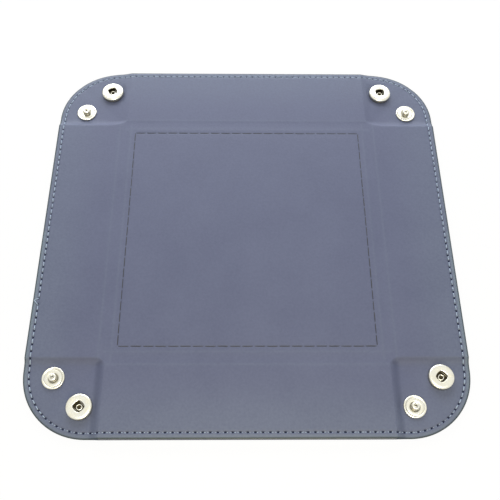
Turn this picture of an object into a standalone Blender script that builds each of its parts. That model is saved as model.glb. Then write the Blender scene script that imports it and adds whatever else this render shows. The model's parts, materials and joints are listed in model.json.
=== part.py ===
"""Folding dice tray with snap corners, lying flat with its inside face up.

Two sheets of faux leather are glued over five stiffening boards and sewn together along the
rounded edge. Each corner square holds no board: it is a limp leaf that creases along its
diagonal when the four walls stand up, and a snap fastener then holds its two halves together.
Lengths are in metres. The origin is under the tray's centre, on the face that it rests on,
+X points to the right and +Y to the back.
"""

import math

import bmesh
import bpy
from mathutils import Matrix

# Plan of the flat tray
SIDE = 0.205
WALL_HEIGHT = 0.0365
CORNER_RUN = 0.0055

# Sheets, boards and the glue between them
SHEET = 0.0007
BOARD = 0.0017
GLUE = 0.00025
BOARD_FOLD_SETBACK = 0.003
BOARD_EDGE_SETBACK = 0.0003
FOLD_GAP = 0.0003
EDGE_DROP = 0.00025

# Corner leaves
LEAF_CLEARANCE = 0.0006
LEAF = 0.0014
CREASE_HALF_ANGLE = math.radians(4)
CREASE_START = 0.005

# Edge stitching
EDGE_STITCH_INSET = 0.0027
EDGE_STITCH_PITCH = 0.0033
EDGE_THREAD_RADIUS = 0.00025
EDGE_THREAD_DIP = 0.00012
EDGE_GROOVE_WIDTH = 0.001
EDGE_GROOVE_DEPTH = 0.00045

# Stitched square in the base, inset from the fold lines
SQUARE_INSET = 0.0056
SQUARE_STITCH_PITCH = 0.0057
SQUARE_THREAD_RADIUS = 0.00022
SQUARE_THREAD_DIP = 0.00012
SQUARE_GROOVE_WIDTH = 0.0009
SQUARE_GROOVE_DEPTH = 0.00042

# How far a groove's cutter runs past what it cuts
CUT_OVERRUN = 0.002

# Place of the snaps on a leaf past the wall's end
SNAP_PAST = 0.0091
SEAT_GAP = 0.00005

# Snap socket
SOCKET_RADIUS = 0.0059
SOCKET_HEIGHT = 0.0024
SOCKET_MOUTH_RADIUS = 0.0024
SOCKET_PLATE = 0.00035
SOCKET_WALL = 0.0006
SOCKET_ROOF = 0.0008
SOCKET_SHOULDER = 0.0008
SOCKET_LIP = 0.0002
SHOULDER_OUT_SHARE = 1 / 4
SHOULDER_DOWN_SHARE = 1 / 3

# Spring wire in the socket
WIRE_RADIUS = 0.00025
WIRE_REACH = 0.00185
WIRE_WALL_CLEARANCE = 0.00045
WIRE_HOOK_ANGLE = math.radians(50)

# Cap under the socket, with its rolled post
CAP_INSET = 0.0003
CAP_DEPTH = 0.0005
CAP_RIM = 0.00018
POST_RADIUS = 0.00145
POST_BORE_RADIUS = 0.00085
POST_ROLL_RADIUS = 0.0022
POST_ROLL_HEIGHT = 0.0004
POST_HOLE_CLEARANCE = 0.0003
POST_ROLL_SHARE = 1 / 3
DOME_SPREAD_SHARE = 3 / 4

# Snap stud
STUD_RADIUS = 0.0052
STUD_FLANGE = 0.0006
STUD_RIM = 0.0007
STUD_STEP = 0.00015
STUD_HEIGHT = 0.0024
KNOB_RADIUS = 0.0018
KNOB_NECK_RADIUS = 0.0014
KNOB_CROWN = 0.0005
KNOB_UNDERCUT = 0.0006
KNOB_TOP_RADIUS = 0.0012
KNOB_MOUTH_RADIUS = 0.0009

# Eyelet under the stud
EYELET_INSET = 0.0008
EYELET_DEPTH = 0.00045
EYELET_RIM = 0.00015
EYELET_POST_RADIUS = 0.0007
EYELET_BORE_RADIUS = 0.0004
EYELET_BORE_DEPTH = 0.001
EYELET_TOP_SETBACK = 0.0001

# Fineness of round shapes
TURN_STEPS = 24
SMALL_TURN_STEPS = 16
ARC_STEP = math.radians(4.5)
WIRE_ARC_STEP = math.radians(17)
HOLE_POINTS = 20
MERGE = 0.000001
SMOOTH_ANGLE = math.radians(35)

# Heights and places that follow from the sizes above
HALF_SIDE = SIDE / 2
FOLD_HALF = HALF_SIDE - WALL_HEIGHT
SQUARE_SIDE = 2 * (FOLD_HALF - SQUARE_INSET)
THICKNESS = 2 * SHEET + 2 * GLUE + BOARD
CORNER_RADIUS = WALL_HEIGHT - CORNER_RUN
HALF_GAP = FOLD_GAP / 2
CREASE_ANGLE = math.pi / 4 - CREASE_HALF_ANGLE
CAP_RADIUS = SOCKET_RADIUS - CAP_INSET
EYELET_RADIUS = STUD_RADIUS - EYELET_INSET
POST_HOLE_RADIUS = POST_RADIUS + POST_HOLE_CLEARANCE
EYELET_HOLE_RADIUS = EYELET_POST_RADIUS + POST_HOLE_CLEARANCE
WIRE_LOOP_RADIUS = SOCKET_RADIUS - SOCKET_WALL - WIRE_WALL_CLEARANCE - WIRE_RADIUS
WIRE_LEVEL = SOCKET_PLATE + SEAT_GAP + POST_ROLL_HEIGHT + WIRE_RADIUS
KNOB_WAIST = STUD_HEIGHT - KNOB_CROWN
KNOB_NECK_TOP = KNOB_WAIST - KNOB_UNDERCUT

# The snaps sit midway between touching across the crease and touching the edge stitching
SNAP_LOWEST = SNAP_PAST + (SOCKET_RADIUS + STUD_RADIUS) / math.sqrt(2)
SNAP_HIGHEST = WALL_HEIGHT - EDGE_STITCH_INSET - SOCKET_RADIUS
SNAP_UP = (SNAP_LOWEST + SNAP_HIGHEST) / 2

# Walls in turn anticlockwise from the right
WALL_NAMES = ("right", "back", "left", "front")

# Order of two wall names in a corner's name
CORNER_NAME_ORDER = ("back", "front", "left", "right")

# Snap half on each wall's leaves: first the anticlockwise end, then the clockwise end
SNAPS = {
    "right": ("stud", "socket"),
    "back": ("socket", "socket"),
    "left": ("stud", "stud"),
    "front": ("stud", "socket"),
}

# How far each corner's socket is turned about its post
SOCKET_TURNS = {
    "back_right": math.radians(100),
    "back_left": math.radians(-60),
    "front_left": math.radians(-45),
    "front_right": math.radians(45),
}


def clear_scene():
    for item in list(bpy.data.objects):
        bpy.data.objects.remove(item, do_unlink=True)


def new_collection(name):
    collection = bpy.data.collections.new(name)
    bpy.context.scene.collection.children.link(collection)
    return collection


def make_material(name, color, roughness, metallic):
    material = bpy.data.materials.new(name)
    material.use_nodes = True
    shader = material.node_tree.nodes["Principled BSDF"]
    shader.inputs["Base Color"].default_value = (*color, 1.0)
    shader.inputs["Roughness"].default_value = roughness
    shader.inputs["Metallic"].default_value = metallic
    material.diffuse_color = (*color, 1.0)
    return material


def make_empty(name, location, turn=0.0, parent=None):
    """Returns an empty that stands on a joint's axis, turned about the vertical."""
    empty = bpy.data.objects.new(name, None)
    empty.empty_display_size = WALL_HEIGHT / 4
    empty.location = location
    empty.rotation_euler = (0, 0, turn)
    empty.parent = parent
    PARTS.objects.link(empty)
    return empty


def place(item, material, parent, location=(0, 0, 0), turn=0.0):
    item.data.materials.clear()
    item.data.materials.append(material)
    item.parent = parent
    item.location = location
    item.rotation_euler = (0, 0, turn)
    return item


def shade(item):
    item.data.shade_smooth()
    item.data.set_sharp_from_angle(angle=SMOOTH_ANGLE)


def curve_to_mesh(curve_item, collection):
    """Replaces a curve object at the origin by its welded mesh, with its faces pointing out."""
    name = curve_item.name
    bpy.context.view_layer.update()
    evaluated = curve_item.evaluated_get(bpy.context.evaluated_depsgraph_get())
    mesh = bpy.data.meshes.new_from_object(evaluated)
    work = bmesh.new()
    work.from_mesh(mesh)
    bmesh.ops.remove_doubles(work, verts=work.verts, dist=MERGE)
    bmesh.ops.recalc_face_normals(work, faces=work.faces)
    work.to_mesh(mesh)
    work.free()
    bpy.data.objects.remove(curve_item, do_unlink=True)
    item = bpy.data.objects.new(name, mesh)
    collection.objects.link(item)
    return item


def plate(name, outlines, low, high, collection):
    """Returns a flat plate between two heights; outlines after the first are its holes."""
    curve = bpy.data.curves.new(name, "CURVE")
    curve.dimensions = "2D"
    curve.fill_mode = "BOTH"
    curve.extrude = (high - low) / 2
    for outline in outlines:
        spline = curve.splines.new("POLY")
        spline.points.add(len(outline) - 1)
        for point, (x, y) in zip(spline.points, outline):
            point.co = (x, y, 0, 1)
        spline.use_cyclic_u = True
    item = bpy.data.objects.new(name, curve)
    collection.objects.link(item)
    item = curve_to_mesh(item, collection)
    item.data.transform(Matrix.Translation((0, 0, (low + high) / 2)))
    return item


def rail(name, profile, half_length, collection):
    """Returns a bar along Y with an outline given in X and Z."""
    item = plate(name, [profile], -half_length, half_length, collection)
    item.data.transform(Matrix.Rotation(math.pi / 2, 4, "X"))
    return item


def turned(name, profile, steps, closed=False):
    """Returns a turned piece whose profile runs down its outer side."""
    mesh = bpy.data.meshes.new(name)
    edges = [(i, i + 1) for i in range(len(profile) - 1)]
    if closed:
        edges.append((len(profile) - 1, 0))
    mesh.from_pydata([(r, 0, z) for r, z in profile], edges, [])
    item = bpy.data.objects.new(name, mesh)
    PARTS.objects.link(item)
    screw = item.modifiers.new("Turn", "SCREW")
    screw.steps = steps
    screw.render_steps = steps
    screw.use_merge_vertices = True
    screw.merge_threshold = MERGE
    screw.use_smooth_shade = True
    return item


def tube(name, points, radius, cyclic=False, fineness=0):
    """Returns a round wire or thread through the given points."""
    curve = bpy.data.curves.new(name, "CURVE")
    curve.dimensions = "3D"
    curve.bevel_depth = radius
    curve.bevel_resolution = fineness
    curve.use_fill_caps = not cyclic
    spline = curve.splines.new("POLY")
    spline.points.add(len(points) - 1)
    for point, place_on_route in zip(spline.points, points):
        point.co = (*place_on_route, 1)
    spline.use_cyclic_u = cyclic
    item = bpy.data.objects.new(name, curve)
    PARTS.objects.link(item)
    return item


def cut(item, cutter):
    """Takes the cutter out of the piece."""
    cutter.hide_render = True
    cutter.display_type = "WIRE"
    boolean = item.modifiers.new("Cut", "BOOLEAN")
    boolean.operation = "DIFFERENCE"
    boolean.solver = "EXACT"
    boolean.object = cutter


def circle(centre, radius, count):
    turn = 2 * math.pi / count
    return [(centre[0] + radius * math.cos(i * turn), centre[1] + radius * math.sin(i * turn))
            for i in range(count)]


def square(half):
    return [(half, half), (-half, half), (-half, -half), (half, -half)]


def arc(centre, radius, start, end, step=ARC_STEP):
    count = max(2, math.ceil(abs(end - start) / step))
    return [(centre[0] + radius * math.cos(start + (end - start) * i / count),
             centre[1] + radius * math.sin(start + (end - start) * i / count))
            for i in range(count + 1)]


def reach_rounding(origin, angle, radius):
    """Returns where a ray from near the leaf's inner corner meets the corner rounding."""
    dx, dy = math.cos(angle), math.sin(angle)
    ox, oy = origin[0] - CORNER_RUN, origin[1] - CORNER_RUN
    along = ox * dx + oy * dy
    far = -along + math.sqrt(along * along - ox * ox - oy * oy + radius * radius)
    return origin[0] + far * dx, origin[1] + far * dy


def rounding_angle(point):
    return math.atan2(point[1] - CORNER_RUN, point[0] - CORNER_RUN)


def leaf_outline():
    """Returns half a corner leaf: up from the fold line, and out past the wall's end."""
    inner = HALF_GAP * (1 + math.cos(CREASE_ANGLE)) / math.sin(CREASE_ANGLE)
    start = (HALF_GAP * math.sin(CREASE_ANGLE), -HALF_GAP * math.cos(CREASE_ANGLE))
    tip = reach_rounding(start, CREASE_ANGLE, CORNER_RADIUS)
    rounding = arc((CORNER_RUN, CORNER_RUN), CORNER_RADIUS, 0, rounding_angle(tip))
    return [(inner, HALF_GAP), (WALL_HEIGHT, HALF_GAP)] + rounding


def crease_outline():
    """Returns the strip between two leaf halves, in the leaf's own directions."""
    edges = []
    for angle, shift in ((CREASE_ANGLE, HALF_GAP), (math.pi / 2 - CREASE_ANGLE, -HALF_GAP)):
        start = (-shift * math.sin(angle), shift * math.cos(angle))
        near = (start[0] + CREASE_START * math.cos(angle), start[1] + CREASE_START * math.sin(angle))
        edges.append((near, reach_rounding(start, angle, CORNER_RADIUS)))
    (near_a, far_a), (near_b, far_b) = edges
    rounding = arc((CORNER_RUN, CORNER_RUN), CORNER_RADIUS, rounding_angle(far_a), rounding_angle(far_b))
    return [near_a] + rounding + [near_b]


def edge_route(distance, inset):
    """Returns the place and outward direction on the leaf's edge, inset from its outer edge.

    The distance runs from the wall's end, first straight and then round the corner.
    """
    radius = CORNER_RADIUS - inset
    angle = max(0.0, (distance - CORNER_RUN) / radius)
    straight = min(distance, CORNER_RUN)
    x = CORNER_RUN + radius * math.cos(angle)
    y = straight + radius * math.sin(angle)
    return (x, y), (math.cos(angle), math.sin(angle))


def groove_outline(length):
    """Returns the edge groove's outline on a leaf, running past both its ends."""
    step = EDGE_STITCH_PITCH / 2
    run = length + 2 * CUT_OVERRUN
    count = math.ceil(run / step)
    inner, outer = [], []
    for i in range(count + 1):
        (x, y), (dx, dy) = edge_route(run * i / count - CUT_OVERRUN, EDGE_STITCH_INSET)
        inner.append((x - dx * EDGE_GROOVE_WIDTH / 2, y - dy * EDGE_GROOVE_WIDTH / 2))
        outer.append((x + dx * EDGE_GROOVE_WIDTH / 2, y + dy * EDGE_GROOVE_WIDTH / 2))
    return inner + outer[::-1]


def stitch_heights(count, dip):
    """Returns a height for each half stitch: level over the leather, dipped at each hole."""
    return [0 if i % 2 else -dip for i in range(count + 1)]


def build_base(materials):
    low_top, board_top = SHEET + GLUE, SHEET + GLUE + BOARD
    panel_half = FOLD_HALF - HALF_GAP
    cover = plate("base_cover", [square(panel_half)], 0, SHEET, PARTS)
    place(cover, materials["cover"], None)
    board = plate("base_board", [square(FOLD_HALF - BOARD_FOLD_SETBACK)], low_top, board_top, PARTS)
    place(board, materials["board"], None)
    lining = plate("base_lining", [square(panel_half)], THICKNESS - SHEET, THICKNESS, PARTS)
    place(lining, materials["lining"], None)
    half = SQUARE_SIDE / 2
    outer, inner = half + SQUARE_GROOVE_WIDTH / 2, half - SQUARE_GROOVE_WIDTH / 2
    groove = plate("square_groove", [square(outer), square(inner)],
                   THICKNESS - SQUARE_GROOVE_DEPTH, THICKNESS + CUT_OVERRUN, CUTTERS)
    cut(lining, groove)
    count = 2 * round(SQUARE_SIDE / SQUARE_STITCH_PITCH)
    heights = stitch_heights(count, SQUARE_THREAD_DIP)
    points = []
    for turn in range(4):
        cosine, sine = round(math.cos(turn * math.pi / 2)), round(math.sin(turn * math.pi / 2))
        for i in range(count):
            x, y = half, -half + SQUARE_SIDE * i / count
            points.append((x * cosine - y * sine, x * sine + y * cosine, heights[i]))
    thread = tube("square_stitching", points, SQUARE_THREAD_RADIUS, cyclic=True)
    place(thread, materials["square_thread"], None, (0, 0, THICKNESS))


def lining_profile():
    """Returns a wall lining's section, with its stitch groove and its sloping margin."""
    stitch = WALL_HEIGHT - EDGE_STITCH_INSET
    near, far = stitch - EDGE_GROOVE_WIDTH / 2, stitch + EDGE_GROOVE_WIDTH / 2
    return [(HALF_GAP, -SHEET), (WALL_HEIGHT, -SHEET), (WALL_HEIGHT, -EDGE_DROP), (far, 0),
            (far, -EDGE_GROOVE_DEPTH), (near, -EDGE_GROOVE_DEPTH), (near, 0), (HALF_GAP, 0)]


def cover_profile():
    """Returns a wall cover's section, with its margin drawn up at the outer edge."""
    slope_start = WALL_HEIGHT - EDGE_STITCH_INSET
    bottom = -THICKNESS
    return [(HALF_GAP, bottom), (slope_start, bottom), (WALL_HEIGHT, bottom + EDGE_DROP),
            (WALL_HEIGHT, bottom + SHEET), (HALF_GAP, bottom + SHEET)]


def build_wall(name, hinge, materials):
    """Builds one wall about its fold axis: X up the wall, Y along it, Z out of its lining."""
    half = FOLD_HALF - HALF_GAP
    lining = rail(name + "_wall_lining", lining_profile(), half, PARTS)
    place(lining, materials["lining"], hinge)
    cover = rail(name + "_wall_cover", cover_profile(), half, PARTS)
    place(cover, materials["cover"], hinge)
    near, far = BOARD_FOLD_SETBACK, WALL_HEIGHT - BOARD_EDGE_SETBACK
    low, high = SHEET + GLUE - THICKNESS, SHEET + GLUE + BOARD - THICKNESS
    section = [(near, low), (far, low), (far, high), (near, high)]
    board = rail(name + "_wall_board", section, half - BOARD_EDGE_SETBACK, PARTS)
    place(board, materials["board"], hinge)
    run = 2 * (half - EDGE_THREAD_RADIUS)
    count = 2 * round(run / EDGE_STITCH_PITCH)
    heights = stitch_heights(count, EDGE_THREAD_DIP)
    points = [(WALL_HEIGHT - EDGE_STITCH_INSET, -run / 2 + run * i / count, heights[i])
              for i in range(count + 1)]
    thread = tube(name + "_wall_stitching", points, EDGE_THREAD_RADIUS)
    place(thread, materials["edge_thread"], hinge)


def leaf_stitch_length():
    """Returns the stitch line's length from the wall's end to the crease."""
    radius = CORNER_RADIUS - EDGE_STITCH_INSET
    end = reach_rounding((0, 0), CREASE_ANGLE, radius)
    return CORNER_RUN + radius * rounding_angle(end)


def build_leaf(name, hinge, side, snap, materials):
    """Builds half a corner leaf on its hinge; side is -1 at the wall's clockwise end."""
    hole_radius = POST_HOLE_RADIUS if snap == "socket" else EYELET_HOLE_RADIUS
    hole = circle((SNAP_UP, SNAP_PAST), hole_radius, HOLE_POINTS)
    outlines = [[(x, side * y) for x, y in outline] for outline in (leaf_outline(), hole)]
    leaf = plate(name, outlines, 0, LEAF, PARTS)
    place(leaf, materials["leaf"], hinge)
    length = leaf_stitch_length()
    band = [(x, side * y) for x, y in groove_outline(length)]
    groove = plate(name + "_groove", [band], LEAF - EDGE_GROOVE_DEPTH, LEAF + CUT_OVERRUN, CUTTERS)
    groove.parent = hinge
    cut(leaf, groove)
    start, end = HALF_GAP + EDGE_THREAD_RADIUS, length - 2 * EDGE_THREAD_RADIUS
    count = 2 * round((end - start) / EDGE_STITCH_PITCH)
    heights = stitch_heights(count, EDGE_THREAD_DIP)
    points = []
    for i in range(count + 1):
        (x, y), _ = edge_route(start + (end - start) * i / count, EDGE_STITCH_INSET)
        points.append((x, side * y, LEAF + heights[i]))
    thread = tube(name + "_stitching", points, EDGE_THREAD_RADIUS)
    place(thread, materials["edge_thread"], hinge)


def build_crease(name, hinge, materials):
    """Builds the strip between two leaf halves, about its line on the first of them."""
    turn = -CREASE_ANGLE
    cosine, sine = math.cos(turn), math.sin(turn)
    outline = [(x * cosine - y * sine, x * sine + y * cosine) for x, y in crease_outline()]
    strip = plate(name, [outline], -LEAF, 0, PARTS)
    place(strip, materials["leaf"], hinge)


def socket_profile():
    """Returns the socket's closed section: a cup with an inward roof round its mouth."""
    shoulder = SOCKET_RADIUS - SOCKET_SHOULDER
    roof = SOCKET_HEIGHT - SOCKET_ROOF
    inner_wall = SOCKET_RADIUS - SOCKET_WALL
    return [(SOCKET_MOUTH_RADIUS, SOCKET_HEIGHT - SOCKET_LIP),
            (SOCKET_MOUTH_RADIUS + SOCKET_LIP, SOCKET_HEIGHT),
            (shoulder, SOCKET_HEIGHT),
            (SOCKET_RADIUS - SOCKET_SHOULDER * SHOULDER_OUT_SHARE,
             SOCKET_HEIGHT - SOCKET_SHOULDER * SHOULDER_DOWN_SHARE),
            (SOCKET_RADIUS, SOCKET_HEIGHT - SOCKET_SHOULDER),
            (SOCKET_RADIUS, SOCKET_LIP),
            (SOCKET_RADIUS - SOCKET_LIP, 0),
            (POST_HOLE_RADIUS, 0),
            (POST_HOLE_RADIUS, SOCKET_PLATE),
            (inner_wall, SOCKET_PLATE),
            (inner_wall, roof),
            (SOCKET_MOUTH_RADIUS, roof)]


def spring_route():
    """Returns the wire's route: two straight legs beside the mouth, a bow and two hooks."""
    centre, radius = (0, 0), WIRE_LOOP_RADIUS
    top = math.acos(WIRE_REACH / WIRE_LOOP_RADIUS)
    first_hook = arc(centre, radius, top - WIRE_HOOK_ANGLE, top, WIRE_ARC_STEP)
    bow = arc(centre, radius, -top, top - math.pi, WIRE_ARC_STEP)
    last_hook = arc(centre, radius, math.pi - top, math.pi - top + WIRE_HOOK_ANGLE, WIRE_ARC_STEP)
    return first_hook + bow + last_hook


def cap_profile():
    """Returns the socket cap's section: rolled post end, bore, post and dome under the leaf."""
    seat = LEAF + SEAT_GAP + SOCKET_PLATE + SEAT_GAP
    roll_top = seat + POST_ROLL_HEIGHT
    roll = POST_ROLL_HEIGHT * POST_ROLL_SHARE
    return [(0, LEAF / 2),
            (POST_BORE_RADIUS, LEAF / 2),
            (POST_BORE_RADIUS, roll_top - roll),
            ((POST_BORE_RADIUS + POST_RADIUS) / 2, roll_top),
            (POST_RADIUS, roll_top),
            (POST_ROLL_RADIUS, seat + POST_ROLL_HEIGHT / 2),
            (POST_ROLL_RADIUS - roll, seat),
            (POST_RADIUS, seat),
            (POST_RADIUS, -SEAT_GAP),
            (CAP_RADIUS, -SEAT_GAP),
            (CAP_RADIUS, -SEAT_GAP - CAP_RIM),
            (CAP_RADIUS * DOME_SPREAD_SHARE, -CAP_DEPTH * DOME_SPREAD_SHARE - SEAT_GAP),
            (0, -CAP_DEPTH - SEAT_GAP)]


def stud_profile():
    """Returns the stud's closed section: rimmed flange, neck and domed knob with its bore."""
    inner = EYELET_HOLE_RADIUS
    step = STUD_FLANGE - STUD_STEP
    return [(KNOB_MOUTH_RADIUS, STUD_HEIGHT),
            (KNOB_TOP_RADIUS, STUD_HEIGHT),
            (KNOB_RADIUS, KNOB_WAIST),
            (KNOB_NECK_RADIUS, KNOB_NECK_TOP),
            (KNOB_NECK_RADIUS, step),
            (STUD_RADIUS - STUD_RIM - STUD_STEP, step),
            (STUD_RADIUS - STUD_RIM, STUD_FLANGE),
            (STUD_RADIUS - STUD_STEP, STUD_FLANGE),
            (STUD_RADIUS, STUD_FLANGE / 2),
            (STUD_RADIUS, 0),
            (inner, 0),
            (inner, KNOB_WAIST),
            (KNOB_MOUTH_RADIUS, STUD_HEIGHT - STUD_STEP)]


def eyelet_profile():
    """Returns the eyelet's section: post end, bore, post and shallow dome under the leaf."""
    top = LEAF + SEAT_GAP + STUD_HEIGHT - EYELET_TOP_SETBACK
    return [(0, top - EYELET_BORE_DEPTH),
            (EYELET_BORE_RADIUS, top - EYELET_BORE_DEPTH),
            (EYELET_BORE_RADIUS, top),
            (EYELET_POST_RADIUS, top - EYELET_TOP_SETBACK),
            (EYELET_POST_RADIUS, -SEAT_GAP),
            (EYELET_RADIUS, -SEAT_GAP),
            (EYELET_RADIUS, -SEAT_GAP - EYELET_RIM),
            (EYELET_RADIUS * DOME_SPREAD_SHARE, -EYELET_DEPTH * DOME_SPREAD_SHARE - SEAT_GAP),
            (0, -EYELET_DEPTH - SEAT_GAP)]


def build_socket(corner, hinge, side, materials):
    """Builds a socket, its spring and its cap on a leaf half."""
    base = (SNAP_UP, side * SNAP_PAST, 0)
    top = (SNAP_UP, side * SNAP_PAST, LEAF + SEAT_GAP)
    turn = SOCKET_TURNS[corner]
    socket = turned(corner + "_socket", socket_profile(), TURN_STEPS, closed=True)
    place(socket, materials["nickel"], hinge, top, turn)
    points = [(x, y, WIRE_LEVEL) for x, y in spring_route()]
    spring = tube(corner + "_socket_spring", points, WIRE_RADIUS, fineness=1)
    place(spring, materials["spring"], hinge, top, turn)
    cap = turned(corner + "_socket_cap", cap_profile(), TURN_STEPS)
    place(cap, materials["nickel"], hinge, base)
    for item in (socket, cap):
        shade(item)


def build_stud(corner, hinge, side, materials):
    """Builds a stud and its eyelet on a leaf half."""
    base = (SNAP_UP, side * SNAP_PAST, 0)
    top = (SNAP_UP, side * SNAP_PAST, LEAF + SEAT_GAP)
    stud = turned(corner + "_stud", stud_profile(), TURN_STEPS, closed=True)
    place(stud, materials["nickel"], hinge, top)
    eyelet = turned(corner + "_stud_eyelet", eyelet_profile(), SMALL_TURN_STEPS)
    place(eyelet, materials["nickel"], hinge, base)
    for item in (stud, eyelet):
        shade(item)


def make_materials():
    return {
        "lining": make_material("lining_leather", (0.163, 0.178, 0.262), 0.62, 0.0),
        "cover": make_material("cover_leather", (0.150, 0.166, 0.245), 0.60, 0.0),
        "leaf": make_material("leaf_leather", (0.163, 0.178, 0.262), 0.62, 0.0),
        "board": make_material("grey_board", (0.36, 0.37, 0.35), 0.90, 0.0),
        "edge_thread": make_material("edge_thread", (0.30, 0.38, 0.55), 0.55, 0.0),
        "square_thread": make_material("square_thread", (0.045, 0.048, 0.070), 0.60, 0.0),
        "nickel": make_material("nickel_plate", (0.80, 0.78, 0.70), 0.25, 1.0),
        "spring": make_material("spring_wire", (0.62, 0.60, 0.55), 0.30, 1.0),
    }


def build_tray():
    materials = make_materials()
    build_base(materials)
    count = len(WALL_NAMES)
    for index, name in enumerate(WALL_NAMES):
        bearing = index * math.pi / 2
        fold = (FOLD_HALF * round(math.cos(bearing)), FOLD_HALF * round(math.sin(bearing)), THICKNESS)
        wall_hinge = make_empty(name + "_wall_fold", fold, bearing)
        build_wall(name, wall_hinge, materials)
        for side, step, snap in ((1, 1, SNAPS[name][0]), (-1, -1, SNAPS[name][1])):
            neighbour = WALL_NAMES[(index + step) % count]
            corner = "_".join(sorted((name, neighbour), key=CORNER_NAME_ORDER.index))
            leaf_name = name + "_wall_" + neighbour + "_leaf"
            place_on_wall = (0, side * FOLD_HALF, LEAF_CLEARANCE - THICKNESS)
            leaf_hinge = make_empty(leaf_name + "_hinge", place_on_wall, parent=wall_hinge)
            build_leaf(leaf_name, leaf_hinge, side, snap, materials)
            if snap == "socket":
                build_socket(corner, leaf_hinge, side, materials)
            else:
                build_stud(corner, leaf_hinge, side, materials)
            if side == 1:
                crease_hinge = make_empty(corner + "_crease_hinge", (0, 0, LEAF), CREASE_ANGLE, leaf_hinge)
                build_crease(corner + "_crease", crease_hinge, materials)


clear_scene()
PARTS = new_collection("dice_tray")
CUTTERS = new_collection("cutters")
build_tray()
bpy.context.view_layer.update()
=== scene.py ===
"""Looks of a folding leather dice tray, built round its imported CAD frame.

The tray lies flat with its lining up. Two sheets of faux leather are glued over five boards and
sewn together along the edge. The four corner leaves hold no board, so they lie lower, and each
carries one half of a snap fastener on either side of its crease.

Lengths are in metres. The origin is under the tray's centre, +X is to the right and +Y to the
back. Pieces of a wall are laid out as the right wall's are, with X up the wall and Y along it,
and are turned about Z into their places.
"""

import bisect
import json
import logging
import math
import random
from dataclasses import dataclass, field
from enum import Enum
from functools import cached_property

import bmesh
import bpy
from mathutils import Matrix, Vector

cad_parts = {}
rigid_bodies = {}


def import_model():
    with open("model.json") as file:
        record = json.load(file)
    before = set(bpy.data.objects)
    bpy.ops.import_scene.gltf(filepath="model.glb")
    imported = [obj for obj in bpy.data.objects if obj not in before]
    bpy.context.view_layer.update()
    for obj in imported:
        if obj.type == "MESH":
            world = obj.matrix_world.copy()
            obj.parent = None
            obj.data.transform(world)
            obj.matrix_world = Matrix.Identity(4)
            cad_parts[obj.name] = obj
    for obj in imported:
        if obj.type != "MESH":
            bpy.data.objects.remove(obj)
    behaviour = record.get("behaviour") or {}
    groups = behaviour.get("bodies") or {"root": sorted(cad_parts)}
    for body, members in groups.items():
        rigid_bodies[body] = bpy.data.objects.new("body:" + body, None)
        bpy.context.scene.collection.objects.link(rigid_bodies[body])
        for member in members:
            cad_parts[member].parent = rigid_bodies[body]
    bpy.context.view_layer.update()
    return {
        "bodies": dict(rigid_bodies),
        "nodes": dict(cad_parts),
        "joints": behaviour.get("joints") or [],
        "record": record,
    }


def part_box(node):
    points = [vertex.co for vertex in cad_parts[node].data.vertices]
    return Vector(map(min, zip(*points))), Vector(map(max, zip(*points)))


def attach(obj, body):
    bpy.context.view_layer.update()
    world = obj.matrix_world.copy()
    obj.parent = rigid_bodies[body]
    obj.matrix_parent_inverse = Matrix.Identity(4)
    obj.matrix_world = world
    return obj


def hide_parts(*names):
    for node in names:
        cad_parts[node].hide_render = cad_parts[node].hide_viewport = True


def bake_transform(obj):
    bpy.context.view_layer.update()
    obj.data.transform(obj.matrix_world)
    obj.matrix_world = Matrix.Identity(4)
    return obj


LOG = logging.getLogger("dice_tray")
MM = 0.001
MICRONS = 1e6
QUARTER = math.pi / 2
Point = tuple[float, float]
Span = tuple[float, float]


# Names and shared sizes


class Wall(Enum):
    """The four walls in turn, anticlockwise from the right."""

    RIGHT = 0
    BACK = 1
    LEFT = 2
    FRONT = 3

    @property
    def word(self) -> str:
        """The wall's name as the frame writes it."""
        return self.name.lower()

    @property
    def body(self) -> str:
        """The body that the wall rides on."""
        return self.word + "_wall"

    @property
    def turn(self) -> Matrix:
        """The turn from the right wall's place to this wall's."""
        return Matrix.Rotation(self.value * QUARTER, 4, "Z")

    def neighbour(self, step: int) -> "Wall":
        """The next wall anticlockwise for a step of 1, and clockwise for -1."""
        return Wall((self.value + step) % len(Wall))

    def leaf(self, step: int) -> str:
        """Name of the half leaf at the wall's anticlockwise (1) or clockwise (-1) end."""
        return f"{self.word}_wall_{self.neighbour(step).word}_leaf"

    @property
    def corner(self) -> str:
        """Name of the corner at the wall's anticlockwise end."""
        width, depth = sorted((self, self.neighbour(1)), key=lambda wall: wall.value % 2)
        return f"{depth.word}_{width.word}"


class Layer(Enum):
    """The two glued sheets."""

    LINING = "lining"
    COVER = "cover"


class Zone(Enum):
    """The parts of a quadrant that move apart when the tray folds."""

    BASE = "base"
    WALL_X = "wall_x"
    WALL_Y = "wall_y"
    LEAF_X = "leaf_x"
    LEAF_Y = "leaf_y"
    CREASE = "crease"


def smooth(share: float) -> float:
    """Returns an eased step between 0 and 1.

    Args:
        share: Place along the step, held between 0 and 1.

    Returns:
        The height of the step there.
    """
    share = min(1.0, max(0.0, share))
    return share * share * (3 - 2 * share)


def bump(distance: float, width: float) -> float:
    """Returns a soft hump of height 1, falling off with distance over a width."""
    return math.exp(-((distance / width) ** 2))


def folded(x: float, y: float) -> Point:
    """Returns a point's distances from the tray's two middle lines, the larger one first."""
    return max(abs(x), abs(y)), min(abs(x), abs(y))


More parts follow.
